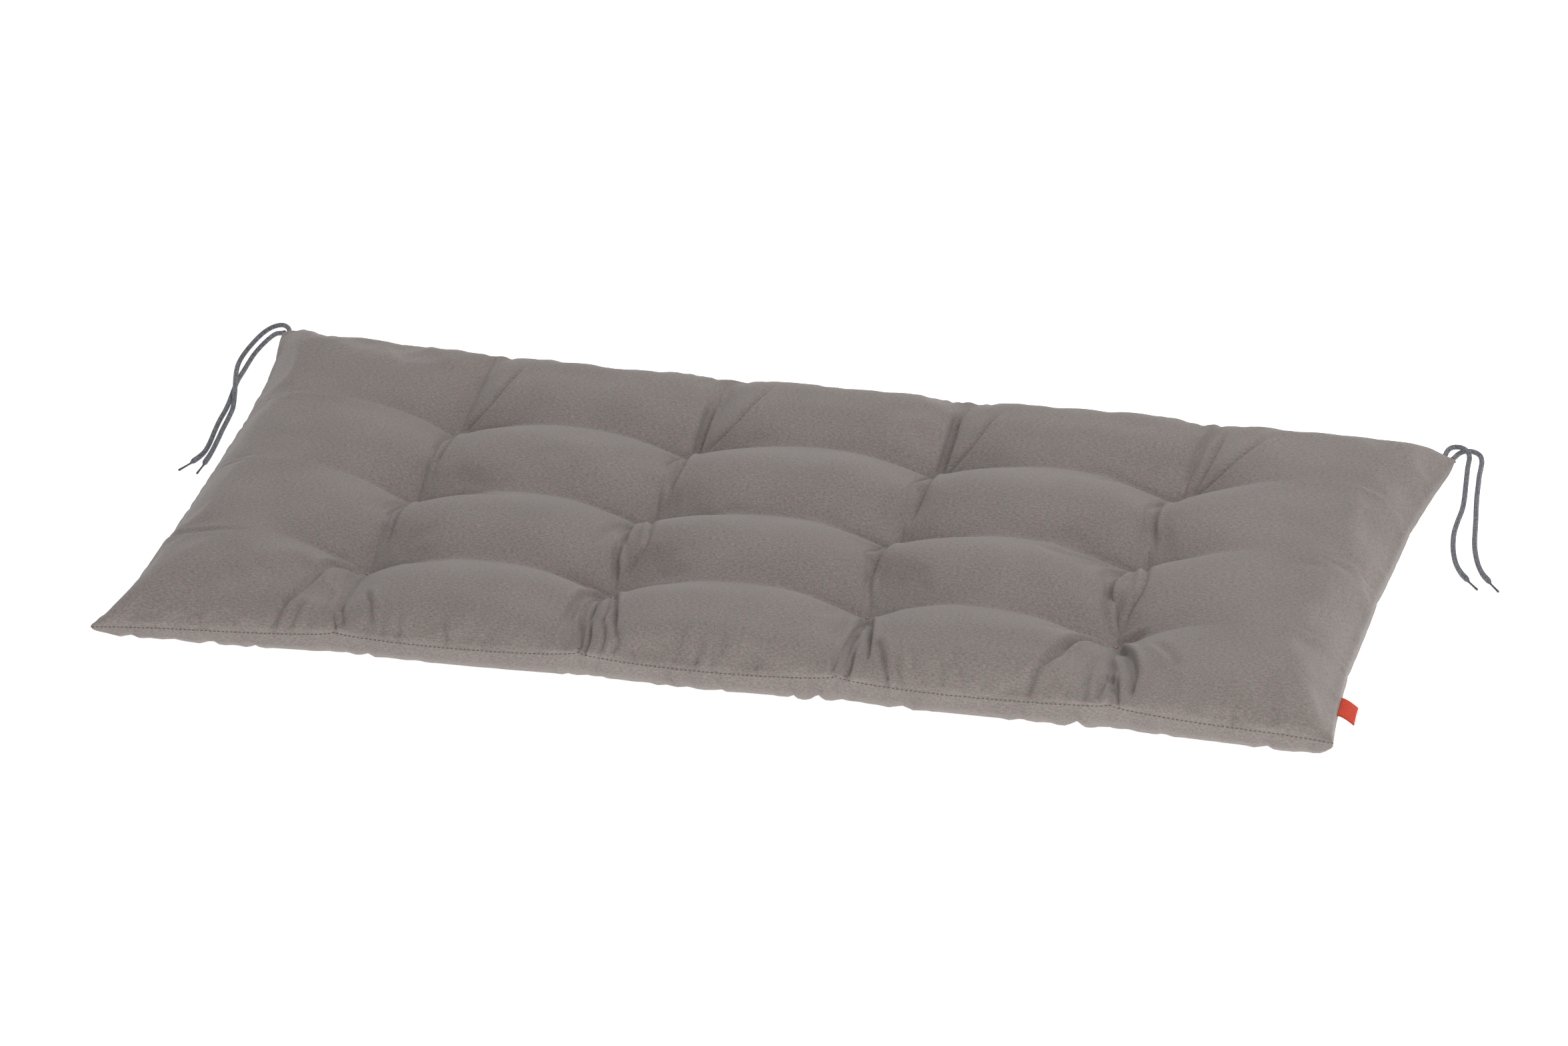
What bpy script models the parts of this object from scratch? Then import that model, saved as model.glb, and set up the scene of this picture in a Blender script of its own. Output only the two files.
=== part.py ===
"""A tufted bench cushion with corner ties, lying on its back.

The cover is two panels sewn together at their rim and filled, then tied down at a grid of
tufts, so that its face swells into pillows. Each back corner carries a lace, folded in half
and caught in the seam, and the right-hand seam holds a folded woven tag.

Frame: metres, +X along the bench, +Y to the back of the seat, +Z up. The origin is on the
floor, under the middle of the cushion.
"""

import math

import bmesh
import bpy
from mathutils import Vector

MM = 0.001

# Cover
LENGTH = 1.10  # seam to seam, between the corners
WIDTH = 0.48
CROWN = 0.0235  # height of a pillow above the seam, at the edge of the cushion
DOME = 0.0055  # how much higher the middle pillows stand
DOME_POWER_ALONG = 4  # the dome is long and level along the bench, and round across it
DOME_POWER_ACROSS = 2
TOP_ROUND = 0.040  # how far in from the seam the face has risen to its full height
UNDER_ROUND = 0.026  # the same for the underside, where it meets the floor
SEAMS = {
    # side: (first corner, second corner), then near each of the two, the seam's height over the
    # floor and how far it is drawn in, then the power of the draw, high for a quick turn
    "front": (("front_left", "front_right"), (0.027, 0.031), (0.008, 0.014), 4),
    "back": (("back_left", "back_right"), (0.029, 0.022), (0.009, 0.013), 3),
    "left": (("front_left", "back_left"), (0.025, 0.028), (0.015, 0.006), 5),
    "right": (("front_right", "back_right"), (0.027, 0.027), (0.018, 0.013), 3),
}
INWARD = {"front": (0, 1, 0), "back": (0, -1, 0), "left": (1, 0, 0), "right": (-1, 0, 0)}
NOTCH_DEPTH = 0.005  # how far a seam is pulled in again at each line of tufts
NOTCH_LIFT = 0.005  # and how far it rises there
NOTCH_POWER = 0.5  # under 1, so a notch is narrow

# Corners of the seam, as the sewn cover really lies: how far each stands out of the plain
# rectangle along X and along Y, and its height over the floor
CORNERS = {
    # name: (side_x, side_y, out_x, out_y, height)
    "front_left": (-1, -1, 0.004, -0.004, 0.016),
    "front_right": (1, -1, -0.001, -0.006, 0.024),
    "back_left": (-1, 1, 0.006, 0.010, 0.031),
    "back_right": (1, 1, 0.001, -0.006, 0.013),
}

# Tufts
TUFT_COLUMNS = 4
TUFT_ROWS = 3
COLUMN_PITCH = 0.2235
ROW_PITCH = 0.1145
TUFT_HEIGHT = 0.0205  # the face at a tuft, over the floor
TUFT_DRIFT = [
    # how far each hand-sewn tuft is off its grid, in millimetres
    # front row,     middle row,     back row, for each column from the left
    ((-2.8, -4.1), (-0.1, -4.0), (-0.9, -0.8)),
    ((-1.4, -3.8), (-1.6, -7.4), (0.0, -5.3)),
    ((2.5, 2.2), (-1.3, -7.0), (1.2, -1.6)),
    ((0.3, -5.5), (-4.0, -5.6), (-0.7, -3.8)),
]

# Grooves between the pillows
COLUMN_BOW = [
    # how far a column's groove bends to the left between two tufts, in millimetres:
    # front to middle row, middle to back row, for each column from the left
    (5, 4),
    (14, 10),
    (16, 9),
    (20, 13),
]
BOW_SKEW = 1.8  # over 1, so the bend is nearer the tuft behind it
BOW_REACH = 0.6 * COLUMN_PITCH
FRONT_LEAN = (9, 5, 10, 25)  # how far a column's groove leans right at the front seam, in mm
ROW_GROOVE_MIDDLE = 0.42  # depth of a groove halfway between two tufts, as a share of a tuft's
COLUMN_GROOVE_MIDDLE = 0.52
ROW_RUN_OUT = 0.110  # how far a row's groove runs on past its last tuft, towards the end seams
ROW_GROOVE_END = 0.03  # and its depth from there on
COLUMN_RUN_OUT = WIDTH / 2 - ROW_PITCH  # a column's groove runs on to the front and back seams
COLUMN_GROOVE_END = 0.22
GROOVE_FADE = 0.6  # under 1, so a groove loses most of its depth close to its last tuft
GROOVE_RISE = 0.9  # under 1, so its bottom climbs quickly out of a tuft
FULL_SECTION = 0.60  # power of a groove's section at a tuft, low for full steep sides
SOFT_SECTION = 1.25  # and halfway between two tufts
ROW_GROOVE_REACH = ROW_PITCH / 2  # half the width of a groove between two rows of pillows
COLUMN_GROOVE_REACH = 0.36 * COLUMN_PITCH

# Underside
UNDER_TUFT = 0.009  # the underside at a tuft, over the floor
UNDER_TUFT_REACH = 0.052
UNDER_TUFT_POWER = 1.5

# Ends: halfway along each of the two short sides the filling rolls out over the seam
END_TUCK = 0.012  # how far the seam is pushed down there
END_TUCK_REACH = 0.035
END_TUCK_POWER = 4

# Grid of each panel: rows of faces for each pillow, closer together at the tufts
FACES_ALONG_PILLOW = 13
FACES_ACROSS_PILLOW = 9
LINE_CROWDING = 0.6
SETTLE_ROUNDS = 3  # guesses at the shares that lie on the lines of tufts
SETTLE_REACH = 0.100  # how far in from the seam the grid has settled on them
WELD = 0.00001

# Ties
LACE_DIAMETER = 0.0044
LACE_LIE = LACE_DIAMETER / 2 + 0.0002  # centre of a lace that lies on the floor
LACE_STEP = 0.0105  # spacing of the points on a lace
ROUTE_FINENESS = 20  # short straight runs between two points of a route, before it is spaced
AGLET_DIAMETER = 0.0022
AGLET_LENGTH = 0.014
TOUCH_GAP = 0.0003
LACE_ROUTES = {
    # name: points of the lace's centre, from the seam to its free end
    "left_rear": [
        (-0.5490, 0.2502, 0.0305),
        (-0.5525, 0.2575, 0.0315),
        (-0.5590, 0.2625, 0.0315),
        (-0.5660, 0.2635, 0.0300),
        (-0.5735, 0.2620, 0.0270),
        (-0.5815, 0.2590, 0.0215),
        (-0.5885, 0.2535, 0.0150),
        (-0.5940, 0.2455, 0.0090),
        (-0.5960, 0.2350, 0.0055),
        (-0.5930, 0.2200, 0.0058),
        (-0.5860, 0.1990, 0.0074),
        (-0.5790, 0.1790, 0.0066),
        (-0.5735, 0.1590, 0.0032),
        (-0.5710, 0.1410, LACE_LIE),
        (-0.5690, 0.1210, LACE_LIE),
        (-0.5665, 0.1010, LACE_LIE),
        (-0.5645, 0.0820, LACE_LIE),
        (-0.5640, 0.0700, LACE_LIE),
        (-0.5645, 0.0600, LACE_LIE),
    ],
    "left_front": [
        (-0.5567, 0.2510, 0.0302),
        (-0.5640, 0.2525, 0.0275),
        (-0.5715, 0.2510, 0.0220),
        (-0.5785, 0.2480, 0.0155),
        (-0.5840, 0.2430, 0.0095),
        (-0.5870, 0.2360, 0.0050),
        (-0.5880, 0.2250, 0.0026),
        (-0.5870, 0.2060, LACE_LIE),
        (-0.5840, 0.1860, LACE_LIE),
        (-0.5810, 0.1690, LACE_LIE),
        (-0.5790, 0.1540, LACE_LIE),
        (-0.5775, 0.1340, LACE_LIE),
        (-0.5750, 0.1150, LACE_LIE),
        (-0.5720, 0.0950, LACE_LIE),
        (-0.5712, 0.0800, LACE_LIE),
        (-0.5735, 0.0690, LACE_LIE),
        (-0.5775, 0.0610, LACE_LIE),
    ],
    "right_front": [
        (0.5398, 0.2350, 0.0170),
        (0.5405, 0.2460, 0.0163),
        (0.5432, 0.2533, 0.0153),
        (0.5497, 0.2562, 0.0138),
        (0.5562, 0.2533, 0.0120),
        (0.5589, 0.2460, 0.0100),
        (0.5600, 0.2350, 0.0074),
        (0.5630, 0.2129, 0.0040),
        (0.5664, 0.1900, LACE_LIE),
        (0.5682, 0.1725, LACE_LIE),
        (0.5684, 0.1540, LACE_LIE),
        (0.5692, 0.1360, LACE_LIE),
        (0.5720, 0.1180, LACE_LIE),
        (0.5762, 0.1010, LACE_LIE),
        (0.5822, 0.0845, LACE_LIE),
        (0.5898, 0.0710, LACE_LIE),
        (0.5979, 0.0616, LACE_LIE),
    ],
    "right_rear": [
        (0.5470, 0.2355, 0.0145),
        (0.5466, 0.2450, 0.0105),
        (0.5472, 0.2550, 0.0075),
        (0.5503, 0.2628, 0.0058),
        (0.5577, 0.2662, 0.0045),
        (0.5648, 0.2628, 0.0034),
        (0.5683, 0.2545, 0.0027),
        (0.5698, 0.2440, LACE_LIE),
        (0.5712, 0.2300, LACE_LIE),
        (0.5733, 0.2160, LACE_LIE),
        (0.5763, 0.1961, LACE_LIE),
        (0.5797, 0.1771, LACE_LIE),
        (0.5834, 0.1580, LACE_LIE),
        (0.5868, 0.1390, LACE_LIE),
        (0.5902, 0.1210, LACE_LIE),
        (0.5944, 0.1050, LACE_LIE),
        (0.6003, 0.0880, LACE_LIE),
        (0.6075, 0.0735, LACE_LIE),
        (0.6167, 0.0618, LACE_LIE),
    ],
}

# Side tag
TAG_WIDTH = 0.0275
TAG_REACH = 0.0150  # how far it stands out of the seam
TAG_THICKNESS = 0.0012
TAG_DROOP = 0.0075  # how far its outer edge hangs below the seam
TAG_DROOP_POWER = 1.5
TAG_MIDDLE = 0.168  # distance of its middle in front of the cushion's middle
TAG_CURL = 0.0010  # how far its two side edges hang below its middle
TAG_FACES_OUT = 6
TAG_FACES_WIDE = 8

# Colours (linear)
CLOTH = (0.225, 0.205, 0.190, 1)
LACE = (0.115, 0.118, 0.135, 1)
DARK_PLASTIC = (0.040, 0.040, 0.045, 1)
TAG_ORANGE = (0.620, 0.110, 0.045, 1)


def clear_scene():
    for obj in list(bpy.data.objects):
        bpy.data.objects.remove(obj)


def material(name, colour, roughness):
    made = bpy.data.materials.new(name)
    made.use_nodes = True
    shader = made.node_tree.nodes["Principled BSDF"]
    shader.inputs["Base Color"].default_value = colour
    shader.inputs["Roughness"].default_value = roughness
    made.diffuse_color = colour
    return made


def add_object(name, data, finish, parts):
    obj = bpy.data.objects.new(name, data)
    obj.data.materials.append(finish)
    parts.objects.link(obj)
    return obj


def blend(a, b, t):
    return a * (1 - t) + b * t


def quarter_round(distance, radius):
    """0 at the seam, rising steeply to 1 one radius in."""
    t = min(distance / radius, 1)
    return math.sqrt(1 - (1 - t) ** 2)


def tuft_x(column):
    return (column - (TUFT_COLUMNS - 1) / 2) * COLUMN_PITCH


def tuft_y(row):
    return (row - (TUFT_ROWS - 1) / 2) * ROW_PITCH


def grid_lines(tufts, size):
    """The seam, each line of tufts and the other seam, as shares of the whole size."""
    return [0] + [0.5 + place / size for place in tufts] + [1]


LINES_ALONG = grid_lines([tuft_x(i) for i in range(TUFT_COLUMNS)], LENGTH)
LINES_ACROSS = grid_lines([tuft_y(j) for j in range(TUFT_ROWS)], WIDTH)


def eased(share, lines):
    """Turns an even share of a panel into one whose steps are shorter at the lines of tufts."""
    pillows = len(lines) - 1
    pillow = min(int(share * pillows), pillows - 1)
    t = share * pillows - pillow
    t -= LINE_CROWDING * math.sin(2 * math.pi * t) / (2 * math.pi)
    return blend(lines[pillow], lines[pillow + 1], t)


def corner(name):
    side_x, side_y, out_x, out_y, height = CORNERS[name]
    return Vector((side_x * (LENGTH / 2 + out_x), side_y * (WIDTH / 2 + out_y), height))


def plain_corner(name, height):
    side_x, side_y, _, _, _ = CORNERS[name]
    return Vector((side_x * LENGTH / 2, side_y * WIDTH / 2, height))


def arch_between(share, lines):
    """0 on each line of tufts and at the corners, 1 halfway between two lines."""
    for low, high in zip(lines, lines[1:]):
        if share <= high:
            return abs(math.sin(math.pi * (share - low) / (high - low)))
    return 0


def seam(side, share):
    """A point of the seam on one side, pulled in between its corners and at the tuft lines."""
    (first, second), heights, draws, power = SEAMS[side]
    lines = LINES_ALONG if side in ("front", "back") else LINES_ACROSS
    between = 1 - abs(2 * share - 1) ** power
    notch = 1 - arch_between(share, lines) ** NOTCH_POWER
    place = blend(plain_corner(first, heights[0]), plain_corner(second, heights[1]), share)
    place += Vector(INWARD[side]) * (blend(*draws, share) + NOTCH_DEPTH * notch)
    place.z += NOTCH_LIFT * notch
    return blend(blend(corner(first), corner(second), share), place, between)


def seam_surface(along, across):
    """The surface stretched inside the four seams, as a Coons patch."""
    front_to_back = blend(seam("front", along), seam("back", along), across)
    left_to_right = blend(seam("left", across), seam("right", across), along)
    corners = blend(
        blend(corner("front_left"), corner("front_right"), along),
        blend(corner("back_left"), corner("back_right"), along),
        across,
    )
    return front_to_back + left_to_right - corners


def hat(distance, reach):
    """1 at no distance, falling smoothly to 0 at the reach."""
    t = min(abs(distance) / reach, 1)
    return 0.5 + 0.5 * math.cos(math.pi * t)


def settled(along, across):
    """Moves the shares so that, inside the drawn-in seams, they lie on the lines of tufts again."""
    new_along, new_across = along, across
    for _ in range(SETTLE_ROUNDS):
        flat = seam_surface(new_along, new_across)
        new_along = min(max(new_along + along - 0.5 - flat.x / LENGTH, 0), 1)
        new_across = min(max(new_across + across - 0.5 - flat.y / WIDTH, 0), 1)
    from_rim = min(min(along, 1 - along) * LENGTH, min(across, 1 - across) * WIDTH)
    weight = 1 - hat(from_rim, SETTLE_REACH)
    return blend(along, new_along, weight), blend(across, new_across, weight)


def drift(x, y):
    """How far the sewn tufts and the bent grooves pull a point of the panel along X and Y."""
    pull = Vector((0, 0, 0))
    for column, rows in enumerate(TUFT_DRIFT):
        off_column = x - tuft_x(column)
        for row, (dx, dy) in enumerate(rows):
            near = hat(off_column, COLUMN_PITCH) * hat(y - tuft_y(row), ROW_PITCH)
            pull += Vector((dx, dy, 0)) * near * MM
        for row, bow in enumerate(COLUMN_BOW[column]):
            between = min(max((y - tuft_y(row)) / ROW_PITCH, 0), 1)
            bend = math.sin(math.pi * between**BOW_SKEW) * hat(off_column, BOW_REACH)
            pull.x -= bow * bend * MM
        ahead = min(max((tuft_y(0) - y) / COLUMN_RUN_OUT, 0), 1)
        pull.x += FRONT_LEAN[column] * ahead * hat(off_column, BOW_REACH) * MM
    return pull


def nearest_line(place, tufts):
    """Distance to the nearest line of tufts, and whether the point is outside them all."""
    distance = min(abs(place - line) for line in tufts)
    return distance, abs(place) > abs(tufts[0])


def along_groove(distance, outside, pitch, middle, run_out, end):
    """A groove's depth as a share of a tuft's, and how soft it is, at a distance from a tuft."""
    if outside:
        soft = min(distance / run_out, 1) ** GROOVE_FADE
        return blend(1, end, soft), soft
    soft = math.sin(math.pi * min(distance / pitch, 0.5)) ** GROOVE_RISE
    return blend(1, middle, soft), soft


def across_groove(distance, reach, soft):
    """A groove's section: 1 at its bottom, 0 at the crest of the pillow beside it."""
    t = min(distance / reach, 1)
    return 1 - (t * (2 - t)) ** blend(FULL_SECTION, SOFT_SECTION, soft)


def tuft_depth(x, y):
    """1 at a tuft, 0 at the crest of a pillow, and in between along the grooves."""
    columns = [tuft_x(i) for i in range(TUFT_COLUMNS)]
    rows = [tuft_y(j) for j in range(TUFT_ROWS)]
    dx, outside_x = nearest_line(x, columns)
    dy, outside_y = nearest_line(y, rows)
    row_groove, soft = along_groove(
        dx, outside_x, COLUMN_PITCH, ROW_GROOVE_MIDDLE, ROW_RUN_OUT, ROW_GROOVE_END
    )
    row_groove *= across_groove(dy, ROW_GROOVE_REACH, soft)
    column_groove, soft = along_groove(
        dy, outside_y, ROW_PITCH, COLUMN_GROOVE_MIDDLE, COLUMN_RUN_OUT, COLUMN_GROOVE_END
    )
    column_groove *= across_groove(dx, COLUMN_GROOVE_REACH, soft)
    return 1 - (1 - row_groove) * (1 - column_groove)


def filled(along, across, radius):
    """How full the cushion is near its rim: 0 at the seam and 1 inside."""
    from_side = min(along, 1 - along) * LENGTH
    from_front = min(across, 1 - across) * WIDTH
    return quarter_round(from_side, radius) * quarter_round(from_front, radius)


def end_tuck(along, across):
    """How far the seam, and the cloth close to it, is pushed down at the two short sides."""
    near = 1 - min(min(along, 1 - along) * LENGTH / END_TUCK_REACH, 1)
    return END_TUCK * near**2 * (1 - abs(2 * across - 1) ** END_TUCK_POWER)


def top_point(along, across):
    flat = seam_surface(along, across)
    level_along = 1 - abs(2 * along - 1) ** DOME_POWER_ALONG
    level_across = 1 - abs(2 * across - 1) ** DOME_POWER_ACROSS
    crest = CROWN + DOME * level_along * level_across
    lift = blend(crest, TUFT_HEIGHT - flat.z, tuft_depth(flat.x, flat.y))
    lift *= filled(along, across, TOP_ROUND)
    lift -= end_tuck(along, across)
    return flat + drift(flat.x, flat.y) + Vector((0, 0, lift))


def under_dimple(x, y):
    """How far the tufts hold the underside off the floor."""
    nearest = min(
        math.hypot(x - tuft_x(i), y - tuft_y(j))
        for i in range(TUFT_COLUMNS)
        for j in range(TUFT_ROWS)
    )
    return UNDER_TUFT * max(1 - nearest / UNDER_TUFT_REACH, 0) ** UNDER_TUFT_POWER


def under_point(along, across):
    flat = seam_surface(along, across)
    full = filled(along, across, UNDER_ROUND)
    place = flat + drift(flat.x, flat.y)
    rim_height = flat.z - end_tuck(along, across)
    place.z = rim_height * (1 - full) + under_dimple(flat.x, flat.y) * full
    return place


def add_panel(bm, point_of, faces_up):
    """A grid of faces whose points are placed by point_of(share along, share across)."""
    made = bmesh.ops.create_grid(
        bm,
        x_segments=FACES_ALONG_PILLOW * (TUFT_COLUMNS + 1),
        y_segments=FACES_ACROSS_PILLOW * (TUFT_ROWS + 1),
        size=0.5,
    )
    for vert in made["verts"]:
        along = eased(min(max(vert.co.x + 0.5, 0), 1), LINES_ALONG)
        across = eased(min(max(vert.co.y + 0.5, 0), 1), LINES_ACROSS)
        vert.co = point_of(*settled(along, across))
    if not faces_up:
        faces = {face for vert in made["verts"] for face in vert.link_faces}
        bmesh.ops.reverse_faces(bm, faces=list(faces))


def make_cushion(parts):
    """The filled cover: a top and a bottom panel, sewn together where their rims meet."""
    bm = bmesh.new()
    add_panel(bm, top_point, faces_up=True)
    add_panel(bm, under_point, faces_up=False)
    rim = [vert for vert in bm.verts if vert.is_boundary]
    bmesh.ops.remove_doubles(bm, verts=rim, dist=WELD)
    mesh = bpy.data.meshes.new("cushion")
    bm.to_mesh(mesh)
    bm.free()
    mesh.shade_smooth()
    return add_object("cushion", mesh, material("melange_weave", CLOTH, 0.95), parts)


def smooth_route(points, step):
    """Points a step apart on a Catmull-Rom curve through the route's own points."""
    ends = [points[0] * 2 - points[1]] + points + [points[-1] * 2 - points[-2]]
    fine = []
    for before, start, end, after in zip(ends, ends[1:], ends[2:], ends[3:]):
        for k in range(ROUTE_FINENESS):
            t = k / ROUTE_FINENESS
            fine.append(
                0.5
                * (
                    2 * start
                    + (end - before) * t
                    + (2 * before - 5 * start + 4 * end - after) * t**2
                    + (3 * start - before - 3 * end + after) * t**3
                )
            )
    fine.append(points[-1])
    length = sum((b - a).length for a, b in zip(fine, fine[1:]))
    steps = max(round(length / step), 1)
    spaced = [fine[0]]
    travelled = 0
    for a, b in zip(fine, fine[1:]):
        run = (b - a).length
        while len(spaced) < steps and travelled + run >= len(spaced) * length / steps:
            t = (len(spaced) * length / steps - travelled) / run
            spaced.append(a.lerp(b, t))
        travelled += run
    spaced.append(fine[-1])
    return spaced


def add_tube(name, points, diameter, finish, parts):
    curve = bpy.data.curves.new(name, "CURVE")
    curve.dimensions = "3D"
    curve.bevel_depth = diameter / 2
    curve.bevel_resolution = 2
    curve.use_fill_caps = True
    spline = curve.splines.new("POLY")
    spline.points.add(len(points) - 1)
    for point, place in zip(spline.points, points):
        point.co = (*place, 1)
    return add_object(name, curve, finish, parts)


def make_ties(parts):
    """Two legs of braided lace at each back corner, each with a dark tip on its free end."""
    lace = material("braided_lace", LACE, 0.9)
    plastic = material("dark_plastic", DARK_PLASTIC, 0.4)
    for name, route in LACE_ROUTES.items():
        points = smooth_route([Vector(place) for place in route], LACE_STEP)
        add_tube(f"tie_{name}", points, LACE_DIAMETER, lace, parts)
        onward = (points[-1] - points[-2]).normalized()
        start = points[-1] + onward * TOUCH_GAP
        start.z = AGLET_DIAMETER / 2 + TOUCH_GAP
        end = start + onward * AGLET_LENGTH
        end.z = AGLET_DIAMETER / 2
        add_tube(f"tip_{name}", [start, end], AGLET_DIAMETER, plastic, parts)


def tag_point(out, wide):
    """A point of the tag: out of the seam from 0 to 1, and along it from -1 to 1."""
    y = TAG_WIDTH / 2 * wide - TAG_MIDDLE
    root = seam("right", 0.5 + y / WIDTH)
    flat_reach = math.sqrt(TAG_REACH**2 - TAG_DROOP**2)
    x = root.x + TOUCH_GAP + TAG_THICKNESS / 2 + flat_reach * out
    z = root.z - end_tuck(1, 0.5 + y / WIDTH)
    return Vector((x, y, z - TAG_DROOP * out**TAG_DROOP_POWER - TAG_CURL * wide**2 * out))


def make_tag(parts):
    """A strip of woven tape folded double and caught in the right-hand seam."""
    bm = bmesh.new()
    made = bmesh.ops.create_grid(
        bm, x_segments=TAG_FACES_OUT, y_segments=TAG_FACES_WIDE, size=0.5
    )
    for vert in made["verts"]:
        vert.co = tag_point(vert.co.x + 0.5, vert.co.y * 2)
    mesh = bpy.data.meshes.new("side_tag")
    bm.to_mesh(mesh)
    bm.free()
    tag = add_object("side_tag", mesh, material("tag_tape", TAG_ORANGE, 0.8), parts)
    wall = tag.modifiers.new("tape thickness", "SOLIDIFY")
    wall.thickness = TAG_THICKNESS
    wall.offset = 0


clear_scene()
bench_cushion = bpy.data.collections.new("bench_cushion")
bpy.context.scene.collection.children.link(bench_cushion)
make_cushion(bench_cushion)
make_ties(bench_cushion)
make_tag(bench_cushion)
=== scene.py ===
"""The dressed bench cushion: braided laces, a sewn and filled cover, its stitches, tufts and side tag."""

import math

import bpy
import numpy as np
from mathutils import Matrix, Vector


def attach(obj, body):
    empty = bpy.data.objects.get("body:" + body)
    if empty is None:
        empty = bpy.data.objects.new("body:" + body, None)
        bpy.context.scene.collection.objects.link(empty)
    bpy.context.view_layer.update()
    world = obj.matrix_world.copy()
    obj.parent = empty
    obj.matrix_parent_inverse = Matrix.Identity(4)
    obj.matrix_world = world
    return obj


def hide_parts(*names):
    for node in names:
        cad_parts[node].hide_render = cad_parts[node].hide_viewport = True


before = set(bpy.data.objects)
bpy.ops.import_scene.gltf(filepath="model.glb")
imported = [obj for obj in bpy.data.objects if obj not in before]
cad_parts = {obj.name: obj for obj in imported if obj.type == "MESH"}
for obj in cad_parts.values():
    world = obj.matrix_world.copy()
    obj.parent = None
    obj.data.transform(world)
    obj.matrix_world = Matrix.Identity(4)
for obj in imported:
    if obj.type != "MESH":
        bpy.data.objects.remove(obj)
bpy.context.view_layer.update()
studio = bpy.context.scene
MM = 0.001

# Camera. A long lens looks down on the cushion from in front and a little to the right, and is
# turned slightly, so the bench runs downhill across the picture.
PICTURE_WIDTH_PX = 2351
FOCAL_PX = 10000
SENSOR_WIDTH = 36.0
AZIMUTH = math.radians(19.8518)
ELEVATION = math.radians(31.5293)
ROLL = math.radians(-5.3673)
CAMERA_PLACE = Vector((0.0037, 0.0305, 5.8111))  # right, up and back, in the camera's own axes
CAMERA_CLIP_END = 100

turned = Matrix.Rotation(AZIMUTH, 3, "Z") @ Matrix.Rotation(math.pi / 2 - ELEVATION, 3, "X")
turned = turned @ Matrix.Rotation(ROLL, 3, "Z")
lens = bpy.data.cameras.new("camera")
lens.sensor_width = SENSOR_WIDTH
lens.lens = FOCAL_PX / PICTURE_WIDTH_PX * SENSOR_WIDTH
lens.clip_end = CAMERA_CLIP_END
camera = bpy.data.objects.new("camera", lens)
camera.matrix_world = Matrix.Translation(turned @ CAMERA_PLACE) @ turned.to_4x4()
studio.collection.objects.link(camera)
studio.camera = camera


# Laces. Each back corner has a round braided lace, folded in half and caught in the seam, so two
# legs hang from it and lie on the floor. Twelve heather yarns run round a dark core, six each
# way, over and under each other. A leg swells and then narrows into a dark plastic tip.
LACE_DIAMETER = 0.0044
LACE_LIE = LACE_DIAMETER / 2 / MM + 0.5  # height of a lace that lies on the floor, in millimetres
LACE_STEP = 0.0075  # spacing of the points that a lace is said to follow
ROUTE_FINENESS = 12
LACE_TUCK = 0.0035  # how far a leg goes on into the seam
TIP_DIAMETER = 0.0022
TIP_LENGTH = 0.014
TIP_GRIP = 0.002  # how far the tip reaches into the lace
TOUCH_GAP = 0.0003
END_SLOPE = 0.009  # the last stretch of a leg, over which it comes down to its tip
LACE_ROUTES = {
    # points in millimetres, without a height where the lace lies on the floor
    "left_rear": [
        (-549, 250.2, 30.5), (-552.5, 257.5, 31.5), (-559, 262.5, 31.5), (-566, 263.5, 30),
        (-573.5, 262, 27), (-581.5, 259, 21.5), (-588.5, 253.5, 15), (-594, 245.5, 9), (-596, 235, 5.5),
        (-593, 220, 5.8), (-586, 199, 7.4), (-579, 179, 6.6), (-573.5, 159, 3.2), (-571, 141),
        (-569, 121), (-566.5, 101), (-564.5, 82), (-564, 70), (-564.5, 60),
    ],
    "left_front": [
        (-556.7, 251, 30.2), (-564, 252.5, 27.5), (-571.5, 251, 22), (-578.5, 248, 15.5),
        (-584, 243, 9.5), (-587, 236, 5), (-588, 225, 2.6), (-587, 206), (-584, 186), (-581, 169),
        (-579, 154), (-577.5, 134), (-575, 115), (-572, 95), (-571.2, 80), (-573.5, 69), (-577.5, 61),
    ],
    "right_front": [
        (539.8, 235, 17), (540.2, 246, 16.3), (543.2, 253.3, 15.3), (549.7, 256.4, 13.8),
        (556.2, 253.3, 12), (559.2, 246, 10), (560, 235, 7.4), (563, 212.9, 4), (566.4, 190),
        (568.2, 172.5), (568.4, 154), (569.2, 136), (572, 118), (576.2, 101), (582.2, 84.5),
        (589.8, 71), (597.9, 61.6),
    ],
    "right_rear": [
        (547, 235.5, 14.5), (546.6, 245, 10.5), (547.2, 255, 7.5), (550.3, 262.8, 5.8),
        (557.7, 266.2, 4.5), (564.8, 262.8, 3.4), (568.3, 254.5, 2.7), (569.8, 244), (571.2, 230),
        (573.3, 216), (576.3, 196.1), (579.7, 177.1), (583.4, 158), (586.8, 139), (590.2, 121),
        (594.4, 105), (600.3, 88), (607.5, 73.5), (616.7, 61.8),
    ],
}
BRAID = {
    "Step": 0.00045,
    "Yarns Each Way": 6,
    "Pitch": 0.0115,  # one turn of a yarn round the lace
    "Core Radius": 0.00168,
    "Yarn Radius": 0.00190,  # of the yarn's own middle, round the lace
    "Relief": 0.00015,  # how far it rises over and dips under the others
    "Yarn Width": 0.00140,
    "Yarn Thickness": 0.00064,
    "Taper": 0.0040,
    "Tip Share": 0.46,  # the lace's size where it enters the tip
    "Swell": 0.12,
    "Swell Rise": 0.006,
    "Swell Fall": 0.024,
}
YARN_SIDES = 5
CORE_SIDES = 12
FIRST_COLOUR = 6  # the number of a Mix node's first colour socket


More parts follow.
